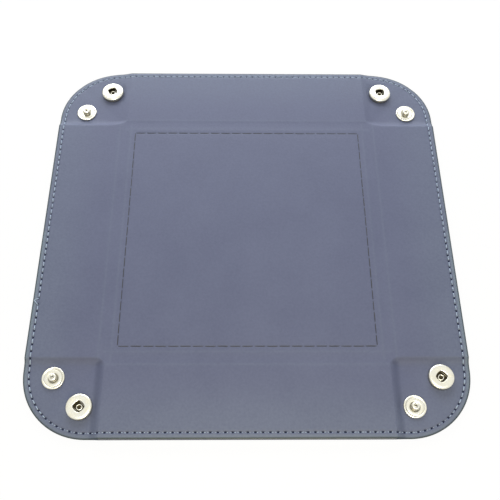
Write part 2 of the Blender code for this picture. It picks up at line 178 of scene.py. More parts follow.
@dataclass(frozen=True)
class Plan:
    """Sizes of the flat tray that its pieces share."""

    half_side: float
    fold: float
    top: float
    leaf_low: float
    leaf_top: float
    sheet: float = 0.7 * MM
    corner_run: float = 5.5 * MM
    stitch_inset: float = 2.7 * MM
    wall_pitch: float = 3.3 * MM
    leaf_stitches: int = 8
    band_half: float = 3.0 * MM
    crease_half_angle: float = math.radians(4)
    square_inset: float = 5.6 * MM
    square_stitches: int = 21
    margin_drop: float = 0.25 * MM

    @classmethod
    def of_frame(cls, frame: dict) -> "Plan":
        """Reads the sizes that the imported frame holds.


        Returns:
            The tray's plan.
        """
        fold = next(j["pos_m"][0] for j in frame["joints"] if j["name"] == "right_wall_fold")
        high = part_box("right_wall_lining")[1]
        low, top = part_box(Wall.RIGHT.leaf(1))
        return cls(half_side=high.x, fold=fold, top=high.z, leaf_low=low.z, leaf_top=top.z)

    @property
    def centre(self) -> float:
        """Both coordinates of the corner rounding's centre."""
        return self.fold + self.corner_run

    @property
    def radius(self) -> float:
        """Radius of the corner rounding."""
        return self.half_side - self.centre

    @property
    def stitch_radius(self) -> float:
        """Radius of the stitch line round a corner."""
        return self.radius - self.stitch_inset

    @property
    def square_half(self) -> float:
        """Half the side of the stitched square."""
        return self.fold - self.square_inset

    @property
    def band(self) -> Span:
        """Where a fold band starts and ends, measured from the tray's middle."""
        return self.fold - self.band_half, self.fold + self.band_half

    @property
    def half_turn_run(self) -> float:
        """Run along the stitch line from a wall's middle to its corner's diagonal."""
        return self.centre + self.stitch_radius * math.pi / 4

    def crease_run(self) -> float:
        """Works out where a leaf's crease crosses the stitch line.

        Returns:
            The run along the stitch line from the wall's middle.
        """
        angle = math.pi / 4 - self.crease_half_angle
        along = self.corner_run * (math.cos(angle) + math.sin(angle))
        far = along + math.sqrt(along**2 - 2 * self.corner_run**2 + self.stitch_radius**2)
        x, y = far * math.cos(angle) - self.corner_run, far * math.sin(angle) - self.corner_run
        return self.centre + self.stitch_radius * math.atan2(y, x)

    @cached_property
    def holes(self) -> list[float]:
        """Runs of the needle holes from a wall's middle to its corner's diagonal.

        Returns:
            The runs, in order.
        """
        wall = round(self.fold / self.wall_pitch)
        step = (self.crease_run() - self.fold) / self.leaf_stitches
        straight = [i * self.wall_pitch for i in range(wall + 1)]
        leaf = [self.fold + step * (i + 1) for i in range(self.leaf_stitches)]
        return straight + leaf + [self.half_turn_run]

    @cached_property
    def square_holes(self) -> list[float]:
        """Places of the stitched square's holes along a side, from its middle."""
        step = 2 * self.square_half / self.square_stitches
        return [step * (i + 0.5) for i in range((self.square_stitches + 1) // 2)]

    def at(self, run: float, inset: float) -> Point:
        """Returns a point near the edge of the quadrant's lower half.

        Args:
            run: Run along the stitch line from the wall's middle.
            inset: Distance in from the outer edge.

        Returns:
            The point's X and Y.
        """
        angle = max(0.0, (run - self.centre) / self.stitch_radius)
        reach = self.radius - inset
        return (
            self.centre + reach * math.cos(angle),
            min(run, self.centre) + reach * math.sin(angle),
        )

    def edge_place(self, x: float, y: float) -> Point:
        """Returns a point's inset from the outer edge and its run along the stitch line.

        Args:
            x: X of the point.
            y: Y of the point.

        Returns:
            The inset and the run.
        """
        x, y = folded(x, y)
        if y <= self.centre:
            return self.half_side - x, y
        dx, dy = x - self.centre, y - self.centre
        run = self.centre + self.stitch_radius * math.atan2(dy, dx)
        return self.radius - math.hypot(dx, dy), run


@dataclass(frozen=True)
class Relief:
    """Heights of the leather's faces over the front half of the flat tray, and its painted shade and painted
    light.
    """

    plan: Plan
    side_stretch: float = 1.35
    # Strength of the painted shade in the needle holes.
    hole_shown: float = 1.0
    # Strength of the painted sheen outside the stitches, and its fade towards the back.
    margin_shown: float = 1.0
    margin_fade: float = 0.5
    margin_fade_start: float = 72 * MM
    margin_fade_run: float = 26 * MM
    # Painted shade on the side-facing slopes just past the front walls' ends.
    gather: float = 0.24
    gather_past: float = 2.3 * MM
    gather_width: float = 2.3 * MM
    slope_start: float = -0.3 * MM
    slope_run: float = 3.2 * MM
    drape: float = 1.25 * MM
    drape_power: float = 1.5
    inner_round: float = 3.5 * MM
    band_dip: float = 0.07 * MM
    band_shoulder: float = 2.2 * MM
    lane_depth: float = 0.1 * MM
    low_lane_depth: float = 0.33 * MM
    lane_width: float = 0.6 * MM
    hole_depth: float = 0.55 * MM
    low_hole_depth: float = 0.2 * MM
    hole_width: float = 0.42 * MM
    hole_stretch: float = 1.7
    hole_far: float = 4.0
    diagonal_dip: float = 0.1 * MM
    diagonal_width: float = 2.2 * MM
    snap_dip: float = 0.12 * MM
    snap_up: float = 22.42 * MM
    snap_past: float = 9.1 * MM
    snap_radius: float = 5.9 * MM
    snap_spread: float = 2.6 * MM
    snap_run: float = 2 * MM
    leaf_gap: float = 0.04 * MM
    square_lane: float = 0.14 * MM
    square_width: float = 0.34 * MM
    square_gap: float = 0.34 * MM
    square_break: float = 1.4
    square_far: float = 2 * MM
    # Strength of the painted shade in the stitched square's lane.
    square_shown: float = 0.3
    edge_round: float = 0.5 * MM
    edge_share: float = 0.5
    stitch_half: float = 0.4 * MM
    # Width of the dark rim along the cut edge: edge dye and painted shade.
    rim: float = 0.4 * MM
    rim_blend: float = 0.3 * MM
    # Painted light: painted sheen towards the outer edge and outside the stitches, and painted highlights
    # along the fold bands' edges.
    handled: float = 0.24
    handled_near: float = 4 * MM
    handled_far: float = 30 * MM
    margin_start: float = 1.5 * MM
    margin_run: float = 0.9 * MM
    line_width: float = 0.5 * MM
    line_shown: float = 0.14

    def held(self, past: float) -> float:
        """Returns how far a wall's board still holds the sheet up past the wall's end."""
        return 1 - smooth((past - self.slope_start) / self.slope_run)

    def past(self, x: float, y: float) -> float:
        """Returns how far a point lies past the boards, rounded where two of them meet.

        Args:
            x: Distance from the middle across the tray.
            y: Distance from the middle towards the front or back.

        Returns:
            The distance, which counts for less past the ends of the front and back walls.
        """
        u, v = (x - self.plan.fold) / self.side_stretch, y - self.plan.fold
        reach = self.inner_round
        if u < reach and v < reach:
            return reach - math.hypot(reach - u, reach - v)
        return min(u, v)

    def limp(self, x: float, y: float) -> float:
        """Returns how far a point lies at the leaf's level.

        Args:
            x: Distance from the middle across the tray.
            y: Distance from the middle towards the front or back.

        Returns:
            The share, from 0 over a board to 1.
        """
        past = max(0.0, self.past(x, y) - self.slope_start)
        gone = (1 - math.exp(-past / self.drape)) ** self.drape_power
        pressed = self.snaps(x, y)
        return gone + (1 - gone) * pressed * smooth(past / self.snap_run)

    def band(self, x: float, y: float) -> float:
        """Returns how deep a point lies in the fold bands.

        Args:
            x: Distance from the middle across the tray.
            y: Distance from the middle towards the front or back.

        Returns:
            The share of the full depth, from 0 to 1.
        """
        plan, depth = self.plan, 0.0
        for across, along in ((x, y), (y, x)):
            past = abs(across - plan.fold) - (plan.band_half - self.band_shoulder)
            depth += (1 - smooth(past / self.band_shoulder)) * self.held(along - plan.fold)
        return min(1.0, depth)

    def hole(self, inset: float, run: float) -> float:
        """Returns how deep a point lies in an edge needle hole.

        Args:
            inset: Distance in from the outer edge.
            run: Run along the stitch line.

        Returns:
            The share of the full depth, from 0 to 1.
        """
        plan = self.plan
        if abs(inset - plan.stitch_inset) > self.hole_far * self.hole_width:
            return 0.0
        holes = plan.holes
        i = bisect.bisect(holes, run)
        near = min(abs(run - h) for h in holes[max(0, i - 1) : i + 1])
        return bump(math.hypot(inset - plan.stitch_inset, near / self.hole_stretch), self.hole_width)

    def square_mark(self, x: float, y: float) -> float:
        """Returns how deep a point lies in the stitched square's lane.

        Args:
            x: X of the point.
            y: Y of the point.

        Returns:
            The share of the full depth, less than 0 between two stitches.
        """
        plan = self.plan
        across, along = folded(x, y)
        if abs(across - plan.square_half) > self.square_far:
            return 0.0
        near = min(abs(along - h) for h in plan.square_holes)
        lane = bump(across - plan.square_half, self.square_width)
        return lane * (1 - self.square_break * bump(near, self.square_gap))

    def margin(self, inset: float) -> float:
        """Returns how far the edge is drawn in outside the stitches.

        Args:
            inset: Distance in from the outer edge.

        Returns:
            The depth.
        """
        plan = self.plan
        slope = max(0.0, 1 - inset / (plan.stitch_inset - self.stitch_half))
        rounding = max(0.0, 1 - inset / self.edge_round)
        return plan.margin_drop * slope + self.edge_share * self.edge_round * rounding**2

    def snaps(self, x: float, y: float) -> float:
        """Returns how far a point is pressed down beside a snap.

        Args:
            x: X of the point.
            y: Y of the point.

        Returns:
            The share, from 0 to 1.
        """
        up, past = (distance - self.plan.fold for distance in folded(x, y))
        gap = math.hypot(up - self.snap_up, past - self.snap_past)
        return 1 - smooth((gap - self.snap_radius) / self.snap_spread)

    def diagonal(self, x: float, y: float) -> float:
        """Returns how deep a point lies along the leaf's crease valley, from 0 to 1."""
        return bump((x - y) / math.sqrt(2), self.diagonal_width)

    def top(self, x: float, y: float, sewn: bool = True) -> float:
        """Returns the lining's outer face.

        Args:
            x: X of the point.
            y: Y of the point.
            sewn: Whether needle holes are let in.

        Returns:
            The height there.
        """
        plan = self.plan
        limp = self.limp(abs(x), abs(y))
        x, y = folded(x, y)
        inset, run = plan.edge_place(x, y)
        height = plan.top - (plan.top - plan.leaf_top) * limp
        height -= self.band_dip * self.band(x, y) + self.margin(inset)
        height -= self.lane_depth * bump(inset - plan.stitch_inset, self.lane_width)
        height -= limp * (self.diagonal_dip * self.diagonal(x, y) + self.snap_dip * self.snaps(x, y))
        height -= self.square_lane * self.square_mark(x, y)
        if sewn:
            height -= self.hole_depth * self.hole(inset, run)
        return height

    def low(self, x: float, y: float, sewn: bool = True) -> float:
        """Returns the cover's outer face.

        Args:
            x: X of the point.
            y: Y of the point.
            sewn: Whether needle holes are let in.

        Returns:
            The height there.
        """
        plan = self.plan
        limp = self.limp(abs(x), abs(y))
        x, y = folded(x, y)
        inset, run = plan.edge_place(x, y)
        height = plan.leaf_low * limp + self.margin(inset)
        height += self.band_dip * self.band(x, y)
        height += self.low_lane_depth * bump(inset - plan.stitch_inset, self.lane_width)
        if sewn:
            height += self.low_hole_depth * self.hole(inset, run)
        return height

    def inside(self, x: float, y: float, layer: Layer) -> float:
        """Returns a sheet's glued face.

        Args:
            x: X of the point.
            y: Y of the point.
            layer: The sheet.

        Returns:
            The height there.
        """
        plan = self.plan
        x, y = abs(x), abs(y)
        limp, dip = self.limp(x, y), self.band_dip * self.band(x, y)
        middle = (plan.leaf_low + plan.leaf_top) / 2
        if layer is Layer.LINING:
            return plan.top - plan.sheet - dip + (middle - plan.top + plan.sheet) * limp
        return plan.sheet + dip + (middle - self.leaf_gap - plan.sheet) * limp

    def mark(self, x: float, y: float, layer: Layer) -> float:
        """Returns how far a point is darkened by painted shade, in the needle holes, on the slopes past the
        front walls' ends and in the stitched square's lane.

        Args:
            x: X of the point.
            y: Y of the point.
            layer: The sheet.

        Returns:
            The share, from 0 to 1.
        """
        x, y = abs(x), abs(y)
        # Painted shade on the side-facing slopes past the front walls' ends.
        slope_shaded = self.gather * bump(x - self.plan.fold - self.gather_past, self.gather_width)
        slope_shaded *= smooth((y - self.plan.fold) / self.gather_width)
        dark = max(slope_shaded, self.hole_shown * self.hole(*self.plan.edge_place(x, y)))
        if layer is Layer.LINING:
            dark = max(dark, self.square_shown * self.square_mark(x, y))
        return dark

    def rim_mark(self, x: float, y: float) -> float:
        """Returns how far a point is darkened along the cut edge by edge dye and painted shade, from 0 to 1.
        """
        inset = self.plan.edge_place(x, y)[0]
        return 1 - smooth((inset - self.rim) / self.rim_blend)

    def worn(self, x: float, y: float) -> float:
        """Returns how far a point is lightened by painted light: painted highlights along the fold bands'
        edges and painted sheen towards the outer edges and outside the stitches.

        Args:
            x: X of the point.
            y: Y of the point.

        Returns:
            The share, from 0 to 1.
        """
        plan = self.plan
        fade = self.margin_fade * smooth((abs(y) - self.margin_fade_start) / self.margin_fade_run)
        x, y = folded(x, y)
        inset = plan.edge_place(x, y)[0]
        lines = 0.0
        for across, along in ((x, y), (y, x)):
            off = abs(abs(across - plan.fold) - plan.band_half)
            lines = max(lines, bump(off, self.line_width) * self.held(along - plan.fold))
        handled = (self.handled_far - inset) / (self.handled_far - self.handled_near)
        outer = self.handled * smooth(handled)
        margin = self.margin_shown * (1 - fade)
        margin *= 1 - smooth((inset - self.margin_start) / self.margin_run)
        return max(self.line_shown * lines, outer, margin)


@dataclass(frozen=True)
class Faces:
    """The reliefs of the tray's two halves; the back leaves lie softer, with less painted shade and painted
    light.
    """

    front: Relief
    back: Relief

    @classmethod
    def of_plan(cls, plan: Plan) -> "Faces":
        """Returns the reliefs over a plan."""
        # The back has no painted shade on its slopes, less in its needle holes, and less painted light.
        soft = {"side_stretch": 2.9, "gather": 0.0, "hole_shown": 0.42, "hole_width": 0.38 * MM}
        return cls(Relief(plan), Relief(plan, margin_shown=0.5, margin_fade=0.0, handled=0.2, **soft))

    def at(self, y: float) -> Relief:
        """Returns the relief of the half that a point lies in."""
        return self.back if y > 0 else self.front


# Shader writing


class Sum:
    """A socket or number that Python arithmetic turns into Math nodes."""

    def __init__(self, tree: bpy.types.NodeTree, value: object) -> None:
        """Wraps a node's output socket or a number."""
        self.tree, self.value = tree, value

    def math(self, operation: str, *others: object, flip: bool = False) -> "Sum":
        """Adds a Math node.

        Args:
            operation: The node's operation.
            others: The other numbers or sockets.
            flip: Whether this value comes last.

        Returns:
            The node's result.
        """
        values = [self.value] + [o.value if isinstance(o, Sum) else o for o in others]
        if flip:
            values.reverse()
        node = self.tree.nodes.new("ShaderNodeMath")
        node.operation = operation
        for socket, value in zip(node.inputs, values):
            if isinstance(value, bpy.types.NodeSocket):
                self.tree.links.new(value, socket)
            else:
                socket.default_value = value
        return Sum(self.tree, node.outputs[0])

    def __add__(self, other: object) -> "Sum":
        """Adds."""
        return self.math("ADD", other)

    def __sub__(self, other: object) -> "Sum":
        """Subtracts."""
        return self.math("SUBTRACT", other)

    def __rsub__(self, other: object) -> "Sum":
        """Subtracts from a number."""
        return self.math("SUBTRACT", other, flip=True)

    def __mul__(self, other: object) -> "Sum":
        """Multiplies."""
        return self.math("MULTIPLY", other)

    __radd__ = __add__
    __rmul__ = __mul__

    def held(self) -> "Sum":
        """Returns the value held between 0 and 1."""
        return self.math("MAXIMUM", 0.0).math("MINIMUM", 1.0)

    def step(self, low: float, high: float) -> "Sum":
        """Returns 0 below low, 1 above high, and an even slope between."""
        return ((self - low) * (1 / (high - low))).held()


class Shader:
    """One procedural material and the nodes that dress it."""

    def __init__(self, name: str, **constants: object) -> None:
        """Starts a material with a Principled shader.

        Args:
            name: The material's name.
            constants: Values of the shader's own sockets, with _ for a space.
        """
        self.material = bpy.data.materials.new(name)
        self.material.use_nodes = True
        self.tree = self.material.node_tree
        self.principled = self.tree.nodes["Principled BSDF"]
        for key, value in constants.items():
            self.principled.inputs[key.replace("_", " ")].default_value = value

    def node(self, kind: str, settings: dict | None = None, **sockets: object) -> bpy.types.Node:
        """Adds a node.

        Args:
            kind: The node's type after "ShaderNode".
            settings: Its settings; stops for a colour ramp.
            sockets: Values or links of its inputs, with _ for a space.

        Returns:
            The node.
        """
        node = self.tree.nodes.new("ShaderNode" + kind)
        for key, value in (settings or {}).items():
            if key == "stops":
                ramp = node.color_ramp
                while len(ramp.elements) < len(value):
                    ramp.elements.new(0.5)
                for element, (place, colour) in zip(ramp.elements, value):
                    element.position, element.color = place, (*colour, 1)
            else:
                setattr(node, key, value)
        for key, value in sockets.items():
            inputs = [s for s in node.inputs if s.enabled and s.name == key.replace("_", " ")]
            self.feed(inputs[0], value)
        return node

    def feed(self, socket: bpy.types.NodeSocket, value: object) -> None:
        """Links a value into a socket, or sets the socket to it.

        Args:
            socket: The socket.
            value: A Sum, a socket, a colour or a number.
        """
        if isinstance(value, Sum):
            value = value.value
        if isinstance(value, bpy.types.NodeSocket):
            self.tree.links.new(value, socket)
        elif isinstance(value, tuple) and len(value) == 3 and socket.type == "RGBA":
            socket.default_value = (*value, 1)
        else:
            socket.default_value = value

    def number(self, socket: bpy.types.NodeSocket) -> Sum:
        """Wraps a socket for arithmetic."""
        return Sum(self.tree, socket)

    def place(self, attribute: str | None = None) -> bpy.types.NodeSocket:
        """Returns the object's coordinates, or a vector attribute of the piece.

        Args:
            attribute: The attribute's name, or None.

        Returns:
            The socket with the place.
        """
        if attribute:
            return self.node("Attribute", {"attribute_name": attribute}).outputs["Vector"]
        return self.node("TexCoord").outputs["Object"]

    def attribute(self, name: str) -> Sum:
        """Returns a number attribute of the piece."""
        return self.number(self.node("Attribute", {"attribute_name": name}).outputs["Fac"])

    def noise(self, place: bpy.types.NodeSocket, size: float, detail: float) -> Sum:
        """Returns a noise from 0 to 1 with features of about a size in metres."""
        node = self.node("TexNoise", Vector=place, Scale=1 / size, Detail=detail, Roughness=0.55)
        return self.number(node.outputs[0])

    def cells(self, place: bpy.types.NodeSocket, size: float, smoothness: float = 0.6) -> Sum:
        """Returns rounded cells, 0 in their middles, of about a size in metres.

        Args:
            place: The socket with the place.
            size: The cells' size.
            smoothness: How round they are.

        Returns:
            The cells' heights.
        """
        settings = {"feature": "SMOOTH_F1"}
        node = self.node("TexVoronoi", settings, Vector=place, Scale=1 / size, Smoothness=smoothness)
        return self.number(node.outputs["Distance"])

    def mix(self, factor: object, first: object, second: object) -> bpy.types.NodeSocket:
        """Returns a blend of two colours."""
        node = self.node("Mix", {"data_type": "RGBA"}, Factor=factor, A=first, B=second)
        return next(s for s in node.outputs if s.enabled)

    def finish(self, colour: object, roughness: object, height: object, depth: float) -> None:
        """Feeds the shader.

        Args:
            colour: The base colour.
            roughness: The roughness.
            height: Relief from 0 to 1 for the bump.
            depth: The relief's depth in metres.
        """
        self.feed(self.principled.inputs["Base Color"], colour)
        self.feed(self.principled.inputs["Roughness"], roughness)
        bumped = self.node("Bump", Height=height, Distance=depth, Strength=1.0)
        self.feed(self.principled.inputs["Normal"], bumped.outputs[0])


@dataclass(frozen=True)
class Leather:
    """Smooth matte faux leather with a fine pressed grain."""

    name: str = "slate_leather"
    deep: tuple = (0.084, 0.095, 0.167)
    pale: tuple = (0.113, 0.127, 0.208)
    # Colour of the painted sheen and painted highlights.
    rubbed: tuple = (0.178, 0.222, 0.278)
    # Colour of the painted shade in the needle holes, on the front slopes and in the square's lane.
    hole: tuple = (0.009, 0.015, 0.048)
    # Colour of the rim along the cut edge: edge dye and painted shade.
    edge: tuple = (0.030, 0.045, 0.050)
    roughness: float = 0.56
    grain: float = 0.55 * MM
    grain_depth: float = 0.03 * MM
    cloud: float = 26 * MM
    fleck: float = 1.1 * MM
    contrast: Span = (0.3, 0.7)
    mark_span: Span = (0.12, 0.6)

    def dress(self) -> bpy.types.Material:
        """Builds the material.

        Returns:
            The finished material.
        """
        shader = Shader(self.name, Specular_IOR_Level=0.45)
        place = shader.place("flat")
        cloud = shader.noise(place, self.cloud, 4).step(*self.contrast)
        fleck = shader.noise(place, self.fleck, 3).step(*self.contrast)
        base = shader.mix(cloud * 0.5 + fleck * 0.5, self.deep, self.pale)
        # Painted sheen towards the edges and painted highlights along the fold bands.
        worn = shader.attribute("worn") * (0.6 + 0.35 * fleck)
        rubbed = shader.mix(worn, base, self.rubbed)
        # Dark rim along the cut edge: edge dye and painted shade.
        rimmed = shader.mix(shader.attribute("rim") * (0.88 + 0.12 * fleck), rubbed, self.edge)
        # Painted shade in the needle holes, on the front slopes and in the square's lane.
        dark = shader.attribute("mark").step(*self.mark_span)
        colour = shader.mix(dark, rimmed, self.hole)
        grain = shader.cells(place, self.grain)
        rough = self.roughness + 0.1 * (cloud - 0.5) + 0.08 * (fleck - 0.5) + 0.3 * dark
        height = grain * 0.8 + fleck * 0.5
        shader.finish(colour, rough, height, self.grain_depth)
        return shader.material


@dataclass(frozen=True)
class Fleece:
    """The leather's backing cloth, or its cut edge."""

    name: str
    low: tuple
    high: tuple
    roughness: float = 0.85
    size: float = 0.25 * MM
    patch: float = 12
    depth: float = 0.05 * MM
    contrast: Span = (0.35, 0.65)

    def dress(self) -> bpy.types.Material:
        """Builds the material.

        Returns:
            The finished material.
        """
        shader = Shader(self.name)
        place = shader.place("flat")
        fibre = shader.noise(place, self.size, 4)
        patch = shader.noise(place, self.patch * self.size, 2)
        colour = shader.mix((fibre * 0.6 + patch * 0.4).step(*self.contrast), self.low, self.high)
        shader.finish(colour, self.roughness + 0.1 * (fibre - 0.5), fibre, self.depth)
        return shader.material


@dataclass(frozen=True)
class Greyboard:
    """Pressed grey board that shows at the walls' edges."""

    name: str = "pressed_greyboard"
    low: tuple = (0.42, 0.43, 0.42)
    high: tuple = (0.62, 0.62, 0.60)
    roughness: float = 0.88
    ply: float = 1.6 * MM
    flatness: float = 9.0
    speck: float = 0.3 * MM
    depth: float = 0.06 * MM
    contrast: Span = (0.35, 0.65)

    def dress(self) -> bpy.types.Material:
        """Builds the material.

        Returns:
            The finished material.
        """
        shader = Shader(self.name)
        place = shader.place()
        spread = shader.node("Mapping", Vector=place, Scale=(1.0, 1.0, self.flatness)).outputs[0]
        ply = shader.noise(spread, self.ply, 4)
        speck = shader.noise(place, self.speck, 2)
        colour = shader.mix((ply * 0.7 + speck * 0.3).step(*self.contrast), self.low, self.high)
        shader.finish(colour, self.roughness + 0.1 * (speck - 0.5), ply, self.depth)
        return shader.material


@dataclass(frozen=True)
class Thread:
    """Twisted sewing thread; its lay follows the piece's own strand attribute."""

    name: str
    low: tuple
    high: tuple
    roughness: float = 0.5
    lay: float = 0.55 * MM
    fuzz: float = 0.12 * MM
    depth: float = 0.06 * MM

    def dress(self) -> bpy.types.Material:
        """Builds the material.

        Returns:
            The finished material.
        """
        shader = Shader(self.name, Sheen_Weight=0.3, Sheen_Roughness=0.4)
        strand = shader.node("SeparateXYZ", Vector=shader.place("strand"))
        cosine, sine, along = (shader.number(s) for s in strand.outputs)
        angle = sine.math("ARCTAN2", cosine)
        twist = (angle * 2 + along * (2 * math.pi / self.lay)).math("SINE") * 0.5 + 0.5
        fuzz = shader.noise(shader.place("flat"), self.fuzz, 3)
        shade = (twist * 0.75 + fuzz * 0.35).held()
        colour = shader.mix(shade, self.low, self.high)
        shader.finish(colour, self.roughness + 0.15 * (fuzz - 0.5), shade, self.depth)
        return shader.material


@dataclass(frozen=True)
class Plating:
    """Warm nickel plating with fine scratches, with painted shade and painted dark reflections in its
    hollows and low on its sides.
    """

    name: str
    bright: tuple = (0.84, 0.83, 0.74)
    dull: tuple = (0.62, 0.56, 0.36)
    # Colour of the painted shade and painted dark reflections.
    hollow: tuple = (0.060, 0.048, 0.026)
    roughness: float = 0.2
    stain: float = 2.4 * MM
    scratch: float = 1.4 * MM
    slant: float = 0.6
    drag: float = 14.0
    depth: float = 0.012 * MM

    def dress(self) -> bpy.types.Material:
        """Builds the material.

        Returns:
            The finished material.
        """
        shader = Shader(self.name, Metallic=1.0)
        place = shader.place()
        stain = shader.noise(place, self.stain, 4).step(0.35, 0.7)
        turned = {"Rotation": (0, 0, self.slant), "Scale": (1.0, self.drag, 1.0)}
        drag = shader.node("Mapping", Vector=place, **turned)
        scratch = shader.noise(drag.outputs[0], self.scratch, 3).step(0.45, 0.7)
        plate = shader.mix(stain * 0.45 + scratch * 0.15, self.bright, self.dull)
        # Painted shade and painted dark reflections in the hollows and low on the sides.
        hollow = shader.attribute("hollow")
        colour = shader.mix(hollow, plate, self.hollow)
        rough = self.roughness + 0.14 * stain + 0.08 * scratch + 0.25 * hollow
        shader.finish(colour, rough, scratch * 0.4 + stain * 0.4, self.depth)
        return shader.material


class Finishes:
    """The tray's materials, by what they cover."""

    def __init__(self) -> None:
        """Dresses every finish once."""
        self.lining = Leather().dress()
        self.cover = Leather("cover_leather", (0.080, 0.092, 0.165), (0.109, 0.122, 0.205)).dress()
        self.cut_edge = Fleece("dark_cut_edge", (0.012, 0.017, 0.022), (0.045, 0.055, 0.062)).dress()
        self.cover_edge = Fleece("grey_cut_edge", (0.14, 0.15, 0.15), (0.30, 0.32, 0.30)).dress()
        self.backing = Fleece("grey_backing", (0.16, 0.17, 0.18), (0.30, 0.31, 0.32)).dress()
        self.board = Greyboard().dress()
        self.edge_thread = Thread("blue_edge_thread", (0.22, 0.30, 0.42), (0.50, 0.60, 0.76)).dress()
        dark = ((0.009, 0.010, 0.016), (0.034, 0.036, 0.050))
        self.square_thread = Thread("dark_square_thread", *dark).dress()
        self.nickel = Plating("warm_nickel").dress()
        self.spring = Plating("spring_wire", (0.62, 0.59, 0.50), (0.38, 0.35, 0.26), roughness=0.28).dress()


# Mesh helpers


def deselect() -> None:
    """Leaves edit mode and deselects everything."""
    if bpy.context.object and bpy.context.object.mode != "OBJECT":
        bpy.ops.object.mode_set(mode="OBJECT")
    bpy.ops.object.select_all(action="DESELECT")


def pick(obj: bpy.types.Object) -> None:
    """Makes an object the only selected and the active one.

    Args:
        obj: The object.
    """
    deselect()
    obj.select_set(True)
    bpy.context.view_layer.objects.active = obj


def settle(obj: bpy.types.Object, place: Matrix) -> None:
    """Puts an object's place into its mesh and leaves the object at the origin."""
    obj.data.transform(place @ obj.matrix_basis)
    obj.matrix_basis = Matrix.Identity(4)


def paint(obj: bpy.types.Object, *materials: bpy.types.Material) -> None:
    """Gives an object its materials.

    Args:
        obj: The object.
        materials: The materials, in the order of its faces' numbers.
    """
    obj.data.materials.clear()
    for material in materials:
        obj.data.materials.append(material)


def finish_piece(obj: bpy.types.Object, sharp: float, *materials: bpy.types.Material) -> None:
    """Gives a piece its materials, shades it smooth and reports it.

    Args:
        obj: The piece.
        sharp: The angle in degrees past which its edges stay sharp.
        materials: The materials, in the order of its faces' numbers.
    """
    paint(obj, *materials)
    pick(obj)
    bpy.ops.object.shade_smooth_by_angle(angle=math.radians(sharp))
    LOG.info("%s: %d faces", obj.name, len(obj.data.polygons))


def vector_attribute(mesh: bpy.types.Mesh, name: str, values: list) -> None:
    """Writes a vector for every vertex."""
    layer = mesh.attributes.new(name, "FLOAT_VECTOR", "POINT")
    layer.data.foreach_set("vector", [c for v in values for c in v])


def number_attribute(mesh: bpy.types.Mesh, name: str, values: list[float]) -> None:
    """Writes a number for every vertex."""
    layer = mesh.attributes.new(name, "FLOAT", "POINT")
    layer.data.foreach_set("value", values)


def new_piece(name: str, vertices: list, faces: list) -> bpy.types.Object:
    """Returns an object made of given vertices and faces.

    Args:
        name: Its name.
        vertices: Their places.
        faces: The numbers of each face's vertices.

    Returns:
        The new object.
    """
    mesh = bpy.data.meshes.new(name)
    mesh.from_pydata(vertices, [], faces)
    obj = bpy.data.objects.new(name, mesh)
    bpy.context.scene.collection.objects.link(obj)
    return obj


def wire(name: str, points: list, radius: float, rounds: int, order: int = 0) -> bpy.types.Object:
    """Returns a bent wire or thread with closed ends.

    Args:
        name: The piece's name.
        points: Places along its middle.
        radius: Its radius.
        rounds: How finely its section is rounded.
        order: Order of the smooth curve drawn by the points, or 0 for straight spans.

    Returns:
        The new object, as a mesh.
    """
    curve = bpy.data.curves.new(name, "CURVE")
    curve.dimensions, curve.use_fill_caps = "3D", True
    curve.bevel_depth, curve.bevel_resolution = radius, rounds
    spline = curve.splines.new("NURBS" if order else "POLY")
    spline.points.add(len(points) - 1)
    if order:
        spline.use_endpoint_u, spline.order_u = True, order
    for point, place in zip(spline.points, points):
        point.co = (*place, 1)
    obj = bpy.data.objects.new(name, curve)
    bpy.context.scene.collection.objects.link(obj)
    pick(obj)
    bpy.ops.object.convert(target="MESH")
    return bpy.context.object


def bend(obj: bpy.types.Object, bodies: tuple[str, str], wall: Wall, ends: list) -> None:
    """Puts a piece's place into its mesh; the piece isn't bent.

    Args:
        obj: The piece.
        bodies: Not used.
        wall: The wall whose place the bend is turned to.
        ends: Where the bend starts and ends, laid out as for the right wall.
    """
    start, end = (wall.turn @ Vector(point) for point in ends)
    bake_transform(obj)


# Leather


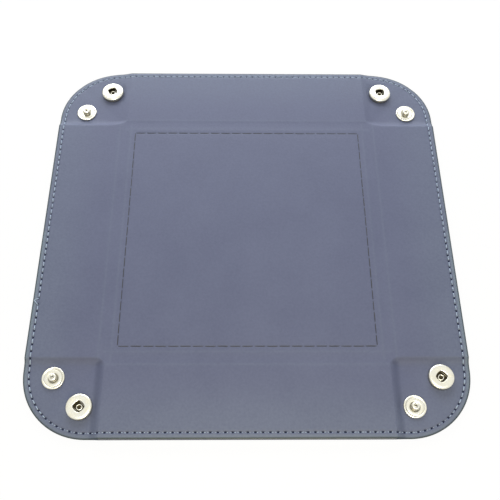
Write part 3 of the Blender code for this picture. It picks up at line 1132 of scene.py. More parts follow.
@dataclass
class Quadrant:
    """A quarter of one sheet, cut along all lines where it bends or parts."""

    plan: Plan
    layer: Layer
    points: list[Point] = field(default_factory=list)
    faces: list[list[int]] = field(default_factory=list)
    zones: list[Zone] = field(default_factory=list)
    row_gap: float = 0.2 * MM
    fixed_gap: float = 0.12 * MM
    digits: int = 7
    near: float = 1e-6
    weld: float = 2e-6

    def lanes(self) -> list[float]:
        """Lists the rows that run beside the outer edge.

        Returns:
            The insets, from the edge inwards.
        """
        if self.layer is Layer.LINING:
            lanes = (0, 0.05, 0.12, 0.22, 0.35, 0.52, 0.9, 1.5, 1.85, 2.1, 2.3, 2.45, 2.58, 2.7)
            lanes += (2.82, 2.95, 3.1, 3.3, 3.6, 4.2)
        else:
            lanes = (0, 0.1, 0.25, 0.5, 1.2, 1.9, 2.2, 2.45, 2.7, 2.95, 3.2, 3.5, 4.2)
        return [lane * MM for lane in lanes]

    def stations(self) -> list[float]:
        """Lists the rows that cross the edge, close together at each hole.

        Returns:
            Their runs along the stitch line.
        """
        fine = (0.2, 0.4, 0.62, 0.88, 1.2) if self.layer is Layer.LINING else (0.35, 0.8)
        holes = self.plan.holes
        runs = list(holes)
        for first, second in zip(holes, holes[1:]):
            middle = (first + second) / 2
            runs.append(middle)
            for offset in fine:
                if first + offset * MM < middle - self.row_gap:
                    runs += [first + offset * MM, second - offset * MM]
        fixed = [*self.plan.band, self.plan.centre]
        runs = {round(run, self.digits) for run in runs}
        runs = {run for run in runs if all(abs(run - f) > self.fixed_gap for f in fixed)}
        return sorted(runs | {round(f, self.digits) for f in fixed})

    def lines(self) -> list[float]:
        """Lists the cuts across the sheet.

        Returns:
            Their X, and by symmetry their Y.
        """
        plan = self.plan
        coarse = [8, 16, 24, 32, 40, 47, 53]
        fold = [-4.2, -3.4, -3.15, -3, -2.85, -2.6, -2.2, -1.6, -1, -0.5, 0, 0.4, 0.8, 1.2, 1.6, 2, 2.3]
        fold += [2.6, 2.85, 3, 3.15, 3.4, 4, 5, 6.5, 8, 10, 12, 14, 16, 18, 20, 22, 24, 26, 28, 30, 31.5]
        lines = [c * MM for c in coarse] + [plan.fold + f * MM for f in fold]
        if self.layer is Layer.LINING:
            for offset in (-0.8, -0.45, -0.25, -0.12, 0, 0.12, 0.25, 0.45, 0.8):
                lines.append(plan.square_half + offset * MM)
            for hole in plan.square_holes[:-1]:
                lines += [hole + offset * MM for offset in (-0.7, -0.35, -0.15, 0.15, 0.35, 0.7)]
        return sorted(lines)

    def build(self) -> "Quadrant":
        """Cuts the quarter sheet into faces and sorts them into zones.

        Returns:
            The quadrant, filled.
        """
        work = bmesh.new()
        plan, lanes = self.plan, self.lanes()
        rows = [[plan.at(run, inset) for inset in lanes] for run in self.stations()]
        rows += [[(y, x) for x, y in row] for row in reversed(rows[:-1])]
        grid = [[work.verts.new((x, y, 0)) for x, y in row] for row in rows]
        for first, second in zip(grid, grid[1:]):
            for i in range(len(lanes) - 1):
                work.faces.new((first[i], second[i], second[i + 1], first[i + 1]))
        strip = set(work.faces)
        work.faces.new([work.verts.new((0, 0, 0))] + [row[-1] for row in grid])
        tag = work.faces.layers.int.new("strip")
        for face in work.faces:
            face[tag] = len(face.verts) == 4 and face in strip
        for line in self.lines():
            for normal in ((1, 0, 0), (0, 1, 0)):
                self.cut(work, [f for f in work.faces if not f[tag]], Vector(normal) * line, normal)
        corner = Vector((plan.fold, plan.fold, 0))
        half_angle = math.degrees(plan.crease_half_angle)
        for degrees in (-half_angle, 0, half_angle):
            angle = math.radians(45 + degrees)
            normal = Vector((-math.sin(angle), math.cos(angle), 0))
            reach = (plan.fold if degrees else plan.band[0]) - self.near
            leaf = [f for f in work.faces if min(f.calc_center_median().xy) > reach]
            self.cut(work, leaf, corner, normal)
        bmesh.ops.remove_doubles(work, verts=work.verts, dist=self.weld)
        work.verts.index_update()
        self.points = [(v.co.x, v.co.y) for v in work.verts]
        for face in work.faces:
            self.faces.append([v.index for v in face.verts])
            self.zones.append(self.zone(*face.calc_center_median().xy))
        work.free()
        return self

    def cut(self, work: bmesh.types.BMesh, faces: list, place: Vector, normal: tuple) -> None:
        """Cuts faces along a plane, with no gap left.

        Args:
            work: The mesh.
            faces: The faces.
            place: A point of the plane.
            normal: The plane's normal.
        """
        edges = {e for f in faces for e in f.edges}
        verts = {v for f in faces for v in f.verts}
        geometry = list(verts) + list(edges) + faces
        plane = {"plane_co": place, "plane_no": normal}
        bmesh.ops.bisect_plane(work, geom=geometry, dist=self.near, **plane)

    def zone(self, x: float, y: float) -> Zone:
        """Returns the zone of a point in the quadrant.

        Args:
            x: X of the point.
            y: Y of the point.

        Returns:
            The zone.
        """
        plan = self.plan
        near, far = plan.band
        big, small = folded(x, y)
        if big < near:
            return Zone.BASE
        if self.layer is Layer.LINING:
            on_base = big < plan.fold and small > near
            on_wall = small < near
        else:
            on_base = False
            on_wall = small < near or (big < far and small < plan.fold)
        if on_base:
            return Zone.BASE
        if on_wall:
            return Zone.WALL_X if x > y else Zone.WALL_Y
        angle = math.atan2(y - plan.fold, x - plan.fold)
        if small > plan.fold and abs(angle - math.pi / 4) < plan.crease_half_angle:
            return Zone.CREASE
        return Zone.LEAF_X if x > y else Zone.LEAF_Y


@dataclass
class Sheet:
    """One of the two glued sheets, as pieces cut where the tray folds."""

    plan: Plan
    reliefs: Faces
    layer: Layer
    finishes: Finishes
    crease_bend: float = 1.2 * MM
    cut_inset: float = 0.05 * MM
    sharp: float = 40

    def build(self) -> None:
        """Builds all of the sheet's pieces; only the base's piece rides on its body."""
        self.quadrant = Quadrant(self.plan, self.layer).build()
        points = self.quadrant.points
        self.looks = [[self.look(*self.turned(point, wall.value)) for point in points] for wall in Wall]
        self.base()
        for wall in Wall:
            self.wall(wall)
            self.leaf(wall, 1)
            self.leaf(wall, -1)
            self.crease(wall)

    @staticmethod
    def turned(point: Point, turn: int) -> Point:
        """Returns a quadrant's point turned anticlockwise by a number of quarter turns."""
        cosine, sine = round(math.cos(turn * QUARTER)), round(math.sin(turn * QUARTER))
        return point[0] * cosine - point[1] * sine, point[0] * sine + point[1] * cosine

    def look(self, x: float, y: float) -> tuple[float, ...]:
        """Returns a point's outer and inner heights, its painted shade and painted light, and its rim's edge
        dye and painted shade.

        Args:
            x: X of the point.
            y: Y of the point.

        Returns:
            The two heights and the three shares.
        """
        relief = self.reliefs.at(y)
        outer = relief.top(x, y) if self.layer is Layer.LINING else relief.low(x, y)
        inner = relief.inside(x, y, self.layer)
        return outer, inner, relief.mark(x, y, self.layer), relief.worn(x, y), relief.rim_mark(x, y)

    def shell(self, name: str, parts: list[tuple[int, Zone]]) -> bpy.types.Object:
        """Builds a closed piece of leather.

        Args:
            name: The piece's name.
            parts: The quadrants, counted anticlockwise, and the zones it is made of.

        Returns:
            The new object.
        """
        quadrant, plan = self.quadrant, self.plan
        index, flat, looks, tops = {}, [], [], []
        for turn, zone in parts:
            turn %= len(Wall)
            for face, where in zip(quadrant.faces, quadrant.zones):
                if where is not zone:
                    continue
                corners = []
                for i in face:
                    x, y = self.turned(quadrant.points[i], turn)
                    key = (round(x * MICRONS), round(y * MICRONS))
                    if key not in index:
                        index[key] = len(flat)
                        flat.append((x, y))
                        looks.append(self.looks[turn][i])
                    corners.append(index[key])
                tops.append(corners)
        count = len(flat)
        outer, inner, shade_marks, light_marks, edges = (list(values) for values in zip(*looks))
        rims = {}
        for corners in tops:
            for a, b in zip(corners, corners[1:] + corners[:1]):
                if rims.pop((b, a), None) is None:
                    rims[(a, b)] = True
        vertices = [(x, y, z) for (x, y), z in zip(flat, outer)]
        vertices += [(x, y, z) for (x, y), z in zip(flat, inner)]
        sides = [(b, a, a + count, b + count) for a, b in rims]
        faces = tops + [[i + count for i in reversed(c)] for c in tops] + sides
        if self.layer is Layer.COVER:
            faces = [list(reversed(f)) for f in faces]
        obj = new_piece(name, vertices, faces)
        face, cut, backing = range(3)
        slots = [face] * len(tops) + [backing] * len(tops)
        for a, b in rims:
            middle = [(abs(flat[a][k]) + abs(flat[b][k])) / 2 for k in (0, 1)]
            slots.append(cut if plan.edge_place(*middle)[0] < self.cut_inset else backing)
        obj.data.polygons.foreach_set("material_index", slots)
        vector_attribute(obj.data, "flat", vertices)
        # Painted shade, painted light and the rim's edge dye and painted shade, for the leather's material.
        number_attribute(obj.data, "mark", shade_marks + [0.0] * count)
        number_attribute(obj.data, "worn", light_marks + [0.0] * count)
        number_attribute(obj.data, "rim", edges + [0.0] * count)
        finishes = self.finishes
        shown = (finishes.cover, finishes.cover_edge)
        if self.layer is Layer.LINING:
            shown = (finishes.lining, finishes.cut_edge)
        finish_piece(obj, self.sharp, *shown, finishes.backing)
        return obj

    def base(self) -> None:
        """Builds the sheet over the base."""
        parts = [(wall.value, Zone.BASE) for wall in Wall]
        obj = self.shell(f"base_{self.layer.value}_leather", parts)
        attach(obj, "base")
        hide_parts("base_" + self.layer.value)

    def wall(self, wall: Wall) -> None:
        """Builds a wall's piece.

        Args:
            wall: The wall.
        """
        parts = [(wall.value, Zone.WALL_X), (wall.value - 1, Zone.WALL_Y)]
        obj = self.shell(f"{wall.body}_{self.layer.value}_leather", parts)
        bend(obj, ("base", wall.body), wall, [(x, 0, 0) for x in self.plan.band])
        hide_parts(f"{wall.body}_{self.layer.value}")

    def leaf(self, wall: Wall, step: int) -> None:
        """Builds a half leaf's piece.

        Args:
            wall: The wall.
            step: 1 for its anticlockwise end, -1 for the other.
        """
        zone = Zone.LEAF_X if step > 0 else Zone.LEAF_Y
        quadrant = wall.value if step > 0 else wall.value - 1
        body = wall.leaf(step)
        obj = self.shell(f"{body}_{self.layer.value}_leather", [(quadrant, zone)])
        bend(obj, (wall.body, body), wall, [(0, step * y, 0) for y in self.plan.band])
        if self.layer is Layer.LINING:
            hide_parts(body)

    def crease(self, wall: Wall) -> None:
        """Builds the strip between the half leaves past a wall's anticlockwise end.

        Args:
            wall: The wall.
        """
        body = wall.corner + "_crease"
        obj = self.shell(f"{body}_{self.layer.value}_leather", [(wall.value, Zone.CREASE)])
        angle = math.pi / 4 - self.plan.crease_half_angle
        start = Vector((self.plan.fold, self.plan.fold, 0))
        across = Vector((-math.sin(angle), math.cos(angle), 0)) * self.crease_bend
        bend(obj, (wall.leaf(1), body), wall, [start, start + across])
        if self.layer is Layer.LINING:
            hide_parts(body)


@dataclass
class Corner:
    """The cover's leather at one corner that shows only from outside, when the walls stand."""

    plan: Plan
    wall: Wall
    finishes: Finishes
    thickness: float = 0.45 * MM
    ball_sink: float = 0.03 * MM
    ball_height: float = 2.2 * MM
    ball_segments: int = 48
    ball_rings: int = 32
    pleat_start: float = -1.8 * MM
    pleat_end: float = 33 * MM
    pleat_sink: float = 0.08 * MM
    pleat_low: float = 0.2 * MM
    pleat_reach: float = 1.25 * MM
    pleat_widening: float = 0.03
    pleat_spans: int = 24
    pleat_round: int = 5
    sharp: float = 40

    def build(self) -> None:
        """Builds both pieces."""
        self.gusset()
        self.pleat()

    def finish(self, obj: bpy.types.Object, name: str, body: str, slot: str) -> None:
        """Turns a piece from the first corner to this one and gives it its wall and finish.

        Args:
            obj: The piece's outer face.
            name: The piece's name.
            body: The body that it rides on.
            slot: Not used.
        """
        obj.name = obj.data.name = name
        wall = obj.modifiers.new("thickness", "SOLIDIFY")
        wall.thickness, wall.offset = self.thickness, -1
        bpy.ops.object.modifier_apply(modifier=wall.name)
        settle(obj, self.wall.turn)
        vector_attribute(obj.data, "flat", [vertex.co for vertex in obj.data.vertices])
        finish_piece(obj, self.sharp, self.finishes.cover)
        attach(obj, body)

    def gusset(self) -> None:
        """Models the corner under a fold crossing as part of a ball round the crossing."""
        plan = self.plan
        deselect()
        bpy.ops.mesh.primitive_uv_sphere_add(
            segments=self.ball_segments,
            ring_count=self.ball_rings,
            radius=plan.top - self.ball_sink,
            location=(plan.fold, plan.fold, plan.top),
        )
        obj = bpy.context.object
        bpy.ops.object.transform_apply(location=True, rotation=False, scale=False)
        bpy.ops.object.mode_set(mode="EDIT")
        work = bmesh.from_edit_mesh(obj.data)
        for face in work.faces:
            x, y, z = face.calc_center_median()
            face.select = x < plan.fold or y < plan.fold or z > self.ball_height
        bmesh.update_edit_mesh(obj.data)
        bpy.ops.mesh.delete(type="FACE")
        bpy.ops.object.mode_set(mode="OBJECT")
        self.finish(obj, self.wall.corner + "_cover_gusset", "base", Layer.COVER.value)

    def pleat(self) -> None:
        """Models the fold along the crease, which lies inside the leaf while the tray is flat."""
        rows = 2 * self.pleat_round + 1
        deselect()
        bpy.ops.mesh.primitive_grid_add(x_subdivisions=self.pleat_spans, y_subdivisions=rows, size=1)
        obj = bpy.context.object
        for vertex in obj.data.vertices:
            run = self.pleat_start + (self.pleat_end - self.pleat_start) * (vertex.co.x + 0.5)
            vertex.co = self.pleat_point(run, round((0.5 - vertex.co.y) * rows))
        body = self.wall.corner + "_crease"
        self.finish(obj, body + "_cover_pleat", body, "leaf")

    def pleat_point(self, run: float, row: int) -> Vector:
        """Returns a point on the fold's outer face, at the first corner.

        Args:
            run: How far out it lies along the crease.
            row: Its row round the fold, from the first half leaf's side.

        Returns:
            The point.
        """
        plan = self.plan
        high = plan.leaf_top - self.pleat_low
        radius = high - plan.leaf_low - self.pleat_sink
        spread = max(0.0, run)
        if row <= self.pleat_round:
            middle, share = -spread * math.tan(plan.crease_half_angle), row / self.pleat_round - 1
        else:
            middle = self.pleat_reach + self.pleat_widening * spread
            share = row / self.pleat_round - 1 - 1 / self.pleat_round
        across = middle + radius * math.sin(share * QUARTER)
        along, side = Vector((1, 1, 0)).normalized(), Vector((-1, 1, 0)).normalized()
        place = Vector((plan.fold, plan.fold, high - radius * math.cos(share * QUARTER)))
        return place + along * run + side * across


# Stitching


@dataclass
class Stitch:
    """One thread between two needle holes, modelled once and laid along every seam."""

    radius: float = 0.2 * MM
    sides: int = 6
    spans: int = 10
    dive: float = 0.5 * MM
    tuck: float = 0.02
    shoulder: float = 0.16
    drop: float = 1.5
    thinning: float = 0.28
    flatness: float = 1.12
    lift_mm: float = 0.03
    sway_mm: float = 0.09
    lay_shift_mm: float = 3.7
    sharp: float = 60

    def model(self) -> bpy.types.Object:
        """Models a stitch of length 1 along X, with its ends drawn down into the holes.

        Returns:
            The stitch.
        """
        deselect()
        bpy.ops.mesh.primitive_cylinder_add(
            vertices=self.sides, radius=1.0, depth=1.0, end_fill_type="NGON", rotation=(0, QUARTER, 0)
        )
        obj = bpy.context.object
        bpy.ops.object.transform_apply(location=False, rotation=True, scale=True)
        bpy.ops.object.mode_set(mode="EDIT")
        bpy.ops.mesh.select_all(action="DESELECT")
        work = bmesh.from_edit_mesh(obj.data)
        for edge in work.edges:
            edge.select = abs(edge.verts[0].co.x - edge.verts[1].co.x) > 0.5
        bmesh.update_edit_mesh(obj.data)
        bpy.ops.mesh.subdivide(number_cuts=self.spans - 1)
        bpy.ops.object.mode_set(mode="OBJECT")
        return obj

    def height(self, share: float, rise: float, dive: float) -> float:
        """Returns the thread's middle above the leather.

        Args:
            share: The share of the stitch's length.
            rise: The height halfway.
            dive: The depth at the stitch's ends.

        Returns:
            The height there.
        """
        side = (min(share, 1 - share) - self.tuck) / self.shoulder
        return rise - (rise + dive) * (1 - smooth(side)) ** self.drop


@dataclass
class Seam:
    """A row of stitches as one piece."""

    plan: Plan
    reliefs: Faces
    stitch: Stitch
    template: bpy.types.Object

    def sew(
        self,
        name: str,
        pairs: list[tuple[Point, Point]],
        material: bpy.types.Material,
        rise: float,
        seed: int,
        dive: float | None = None,
        under: bool = False,
        radius: float | None = None,
    ) -> bpy.types.Object:
        """Lays a stitch between each pair of holes.

        Args:
            name: The piece's name.
            pairs: Places of each stitch's two holes.
            material: The thread's material.
            rise: How far the thread's middle lies above the leather, halfway.
            seed: Seed of the stitches' small differences.
            dive: How far its ends go down, where that isn't the edge thread's.
            under: Whether the stitches lie on the cover.
            radius: The thread's radius, where it isn't the edge thread's.

        Returns:
            The new object.
        """
        rng, stitch = random.Random(seed), self.stitch
        radius = radius or stitch.radius
        dive = stitch.dive if dive is None else dive
        model = self.template.data
        sign = -1 if under else 1
        vertices, faces, strand = [], [], []
        for number, (first, second) in enumerate(pairs):
            start, end = Vector(first), Vector(second)
            along = (end - start).normalized()
            across = Vector((-along.y, along.x))
            length = (end - start).length
            lift = rng.uniform(-stitch.lift_mm, stitch.lift_mm) * MM
            sway = rng.uniform(-stitch.sway_mm, stitch.sway_mm) * MM
            base = len(vertices)
            for vertex in model.vertices:
                share = vertex.co.x + 0.5
                middle = start + (end - start) * share
                relief = self.reliefs.at(middle.y)
                face = relief.low if under else relief.top
                level = face(middle.x, middle.y, sewn=False)
                full = smooth(min(share, 1 - share) / stitch.shoulder)
                thick = radius * (1 - stitch.thinning * (1 - full))
                side = vertex.co.y * thick * stitch.flatness + sway * math.sin(math.pi * share)
                height = stitch.height(share, rise, dive) + lift
                place = middle + across * side * sign
                vertices.append((place.x, place.y, level + sign * (height + vertex.co.z * thick)))
                strand.append((vertex.co.y, vertex.co.z, number * stitch.lay_shift_mm * MM + share * length))
            faces += [[i + base for i in polygon.vertices] for polygon in model.polygons]
        obj = new_piece(name, vertices, faces)
        vector_attribute(obj.data, "strand", strand)
        vector_attribute(obj.data, "flat", vertices)
        finish_piece(obj, stitch.sharp, material)
        return obj


@dataclass
class Stitching:
    """All the tray's stitching: the edge on both faces and the square in the base."""

    plan: Plan
    reliefs: Faces
    finishes: Finishes
    square_radius: float = 0.22 * MM
    square_gap: float = 0.1 * MM
    square_rise: float = 0.02 * MM
    gap: float = 0.45 * MM
    back_gap: float = 0.16 * MM
    back_start: float = 55 * MM
    back_run: float = 30 * MM
    low_gap: float = 0.3 * MM
    square_dive: float = 0.24 * MM
    low_rise: float = -0.02 * MM
    low_dive: float = 0.16 * MM
    loose_wall: Wall = Wall.LEFT
    loose_stitch: int = 11
    loose_reach: float = 2.1 * MM
    loose_share: float = 0.37
    loose_shares: tuple = (0.0, 0.12, 0.5, 0.9, 1.0)
    loose_lifts: tuple = (-2.0, 0.5, 1.0, 1.0, 0.8)
    square_seed: int = 3
    wall_seed: int = 11
    leaf_seed: int = 31
    crease_seed: int = 51
    rises: dict[Wall, float] = field(
        default_factory=lambda: {
            Wall.RIGHT: 0.08 * MM,
            Wall.BACK: 0.04 * MM,
            Wall.LEFT: 0.08 * MM,
            Wall.FRONT: -0.215 * MM,
        }
    )

    def build(self) -> None:
        """Sews the tray."""
        stitch = Stitch()
        self.seam = Seam(self.plan, self.reliefs, stitch, stitch.model())
        self.square()
        for wall in Wall:
            for under in (False, True):
                self.wall(wall, under)
                self.leaf(wall, 1, under)
                self.leaf(wall, -1, under)
                self.crease(wall, under)
        bpy.data.objects.remove(self.seam.template, do_unlink=True)

    def turned(self, runs: list[float], wall: Wall, step: int) -> list[tuple[Point, Point]]:
        """Returns pairs of holes along a run past the end of a wall.

        Args:
            runs: The holes' runs from the wall's middle.
            wall: The wall.
            step: 1 towards its anticlockwise end, -1 towards the other.

        Returns:
            The pairs of holes in their places.
        """
        places = []
        for run in runs:
            x, y = self.plan.at(run, self.plan.stitch_inset)
            place = wall.turn @ Vector((x, step * y, 0))
            places.append((place.x, place.y))
        return list(zip(places, places[1:]))

    def gap_at(self, pair: tuple[Point, Point]) -> float:
        """Returns how far a stitch is drawn in from its holes, which it fills towards the back."""
        back = smooth((pair[0][1] - self.back_start) / self.back_run)
        return self.gap + (self.back_gap - self.gap) * back

    @staticmethod
    def drawn_in(first: Point, second: Point, gap: float) -> tuple[Point, Point]:
        """Draws a stitch's ends in from the middles of its needle holes.

        Args:
            first: Place of its first hole.
            second: Place of its second hole.
            gap: How far they are drawn in.

        Returns:
            The stitch's two ends.
        """
        start, end = Vector(first), Vector(second)
        inward = (end - start).normalized() * gap
        return tuple(start + inward), tuple(end - inward)

    def edge(self, body: str, pairs: list, wall: Wall, under: bool, seed: int) -> bpy.types.Object:
        """Sews a stretch of the edge.

        Args:
            body: The body that it's named for.
            pairs: Places of each stitch's two holes.
            wall: The wall that sets how proud the thread lies.
            under: Whether the stitches lie on the cover.
            seed: Seed of the stitches' small differences, to which the wall's number is added.

        Returns:
            The new object.
        """
        name = f"{body}_{'bobbin' if under else 'needle'}_thread"
        rise, dive = (self.low_rise, self.low_dive) if under else (self.rises[wall], None)
        shown = [self.drawn_in(*pair, self.low_gap if under else self.gap_at(pair)) for pair in pairs]
        thread = self.finishes.edge_thread
        return self.seam.sew(name, shown, thread, rise, seed + wall.value, dive, under)

    def square(self) -> None:
        """Sews the square in the base, with a little leather left between its stitches."""
        half, count, gap = self.plan.square_half, self.plan.square_stitches, self.square_gap
        step, pairs = 2 * half / count, []
        for wall in Wall:
            for i in range(count):
                ends = (-half + step * i + gap, -half + step * (i + 1) - gap)
                places = [(wall.turn @ Vector((half, end, 0))).xy for end in ends]
                pairs.append((tuple(places[0]), tuple(places[1])))
        obj = self.seam.sew(
            "base_square_thread",
            pairs,
            self.finishes.square_thread,
            rise=self.square_rise,
            seed=self.square_seed,
            dive=self.square_dive,
            radius=self.square_radius,
        )
        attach(obj, "base")
        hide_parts("square_stitching")

    def wall(self, wall: Wall, under: bool) -> None:
        """Sews a wall's edge, as far as the wall stays straight.

        Args:
            wall: The wall.
            under: Whether the stitches lie on the cover.
        """
        plan = self.plan
        runs = [run for run in plan.holes if run < plan.fold - plan.wall_pitch / 2]
        pairs = self.turned(runs, wall, 1) + self.turned(runs, wall, -1)
        if wall is self.loose_wall and not under:
            self.loose(*pairs.pop(self.loose_stitch))
        obj = self.edge(wall.body, pairs, wall, under, self.wall_seed)
        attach(obj, wall.body)
        if not under:
            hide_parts(wall.body + "_stitching")

    def loose(self, first: Point, second: Point) -> None:
        """Lays the one slack stitch, a pointed loop pulled out towards the edge.

        Args:
            first: Place of its first hole.
            second: Place of its second hole.
        """
        start, end, stitch = Vector(first), Vector(second), self.seam.stitch
        outward = self.loose_wall.turn @ Vector((1, 0, 0))
        tip = start.lerp(end, self.loose_share) + outward.xy * self.loose_reach
        places = [start.lerp(tip, share) for share in self.loose_shares]
        places += [tip.lerp(end, 1 - share) for share in reversed(self.loose_shares[:-1])]
        points = []
        for place, lift in zip(places, self.loose_lifts + self.loose_lifts[-2::-1]):
            level = self.reliefs.at(place.y).top(*place, sewn=False)
            points.append((*place, level + lift * stitch.radius))
        obj = wire(self.loose_wall.body + "_slack_thread", points, stitch.radius, rounds=2, order=3)
        spots = [vertex.co.copy() for vertex in obj.data.vertices]
        strand = [(1.0, 0.0, (spot.xy - start).length) for spot in spots]
        vector_attribute(obj.data, "strand", strand)
        vector_attribute(obj.data, "flat", spots)
        finish_piece(obj, stitch.sharp, self.finishes.edge_thread)
        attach(obj, self.loose_wall.body)

    def leaf(self, wall: Wall, step: int, under: bool) -> None:
        """Sews a half leaf's edge, from the end of the wall to the crease.

        Args:
            wall: The wall.
            step: 1 for its anticlockwise end, -1 for the other.
            under: Whether the stitches lie on the cover.
        """
        plan = self.plan
        runs = [run for run in plan.holes[:-1] if run > plan.fold - 1.5 * plan.wall_pitch]
        body = wall.leaf(step)
        obj = self.edge(body, self.turned(runs, wall, step), wall, under, self.leaf_seed)
        bend(obj, (wall.body, body), wall, [(0, step * y, 0) for y in plan.band])
        if not under:
            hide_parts(body + "_stitching")

    def crease(self, wall: Wall, under: bool) -> None:
        """Sews the two stitches over a crease.

        Args:
            wall: The wall at the crease's clockwise side.
            under: Whether the stitches lie on the cover.
        """
        runs = self.plan.holes[-2:]
        pairs = self.turned(runs, wall, 1) + self.turned(runs, wall.neighbour(1), -1)
        body = wall.corner + "_crease"
        obj = self.edge(body, pairs, wall, under, self.crease_seed)
        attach(obj, body)


# Snap fasteners


class Turning:
    """A round piece drawn up ring by ring from a circle."""

    tip: float = 0.0001

    def __init__(self, name: str, rings: list[tuple], sides: int = 48) -> None:
        """Draws the piece.

        Args:
            name: Its name.
            rings: Radius and height of each ring along the section in millimetres, and where it
                carries painted shade and painted dark reflections, how dark they are. A piece that
                starts and ends on the axis is closed there, and otherwise its first and last rings
                are the same and are joined.
            sides: Faces round a ring.
        """
        deselect()
        radii = [max(self.tip, ring[0]) * MM for ring in rings]
        heights = [ring[1] * MM for ring in rings]
        bpy.ops.mesh.primitive_circle_add(
            vertices=sides, radius=radii[0], location=(0, 0, heights[0]), fill_type="NOTHING"
        )
        self.obj = bpy.context.object
        self.obj.name = self.obj.data.name = name
        bpy.ops.object.transform_apply(location=True, rotation=False, scale=False)
        bpy.ops.object.mode_set(mode="EDIT")
        for i in range(1, len(rings)):
            bpy.ops.mesh.extrude_region_move()
            work = bmesh.from_edit_mesh(self.obj.data)
            scale = radii[i] / radii[i - 1]
            for vertex in [v for v in work.verts if v.select]:
                vertex.co = (vertex.co.x * scale, vertex.co.y * scale, heights[i])
            bmesh.update_edit_mesh(self.obj.data)
        bpy.ops.mesh.select_all(action="SELECT")
        bpy.ops.mesh.remove_doubles(threshold=3 * self.tip * MM)
        bpy.ops.mesh.normals_make_consistent(inside=False)
        bpy.ops.object.mode_set(mode="OBJECT")
        # Painted shade and painted dark reflections, spread from the rings to the nearest vertices.
        darks = [ring[2] if len(ring) > 2 else 0.0 for ring in rings]
        hollow_shades = []
        for vertex in self.obj.data.vertices:
            reach = math.hypot(vertex.co.x, vertex.co.y)
            gaps = [math.hypot(reach - r, vertex.co.z - z) for r, z in zip(radii, heights)]
            hollow_shades.append(darks[gaps.index(min(gaps))])
        number_attribute(self.obj.data, "hollow", hollow_shades)


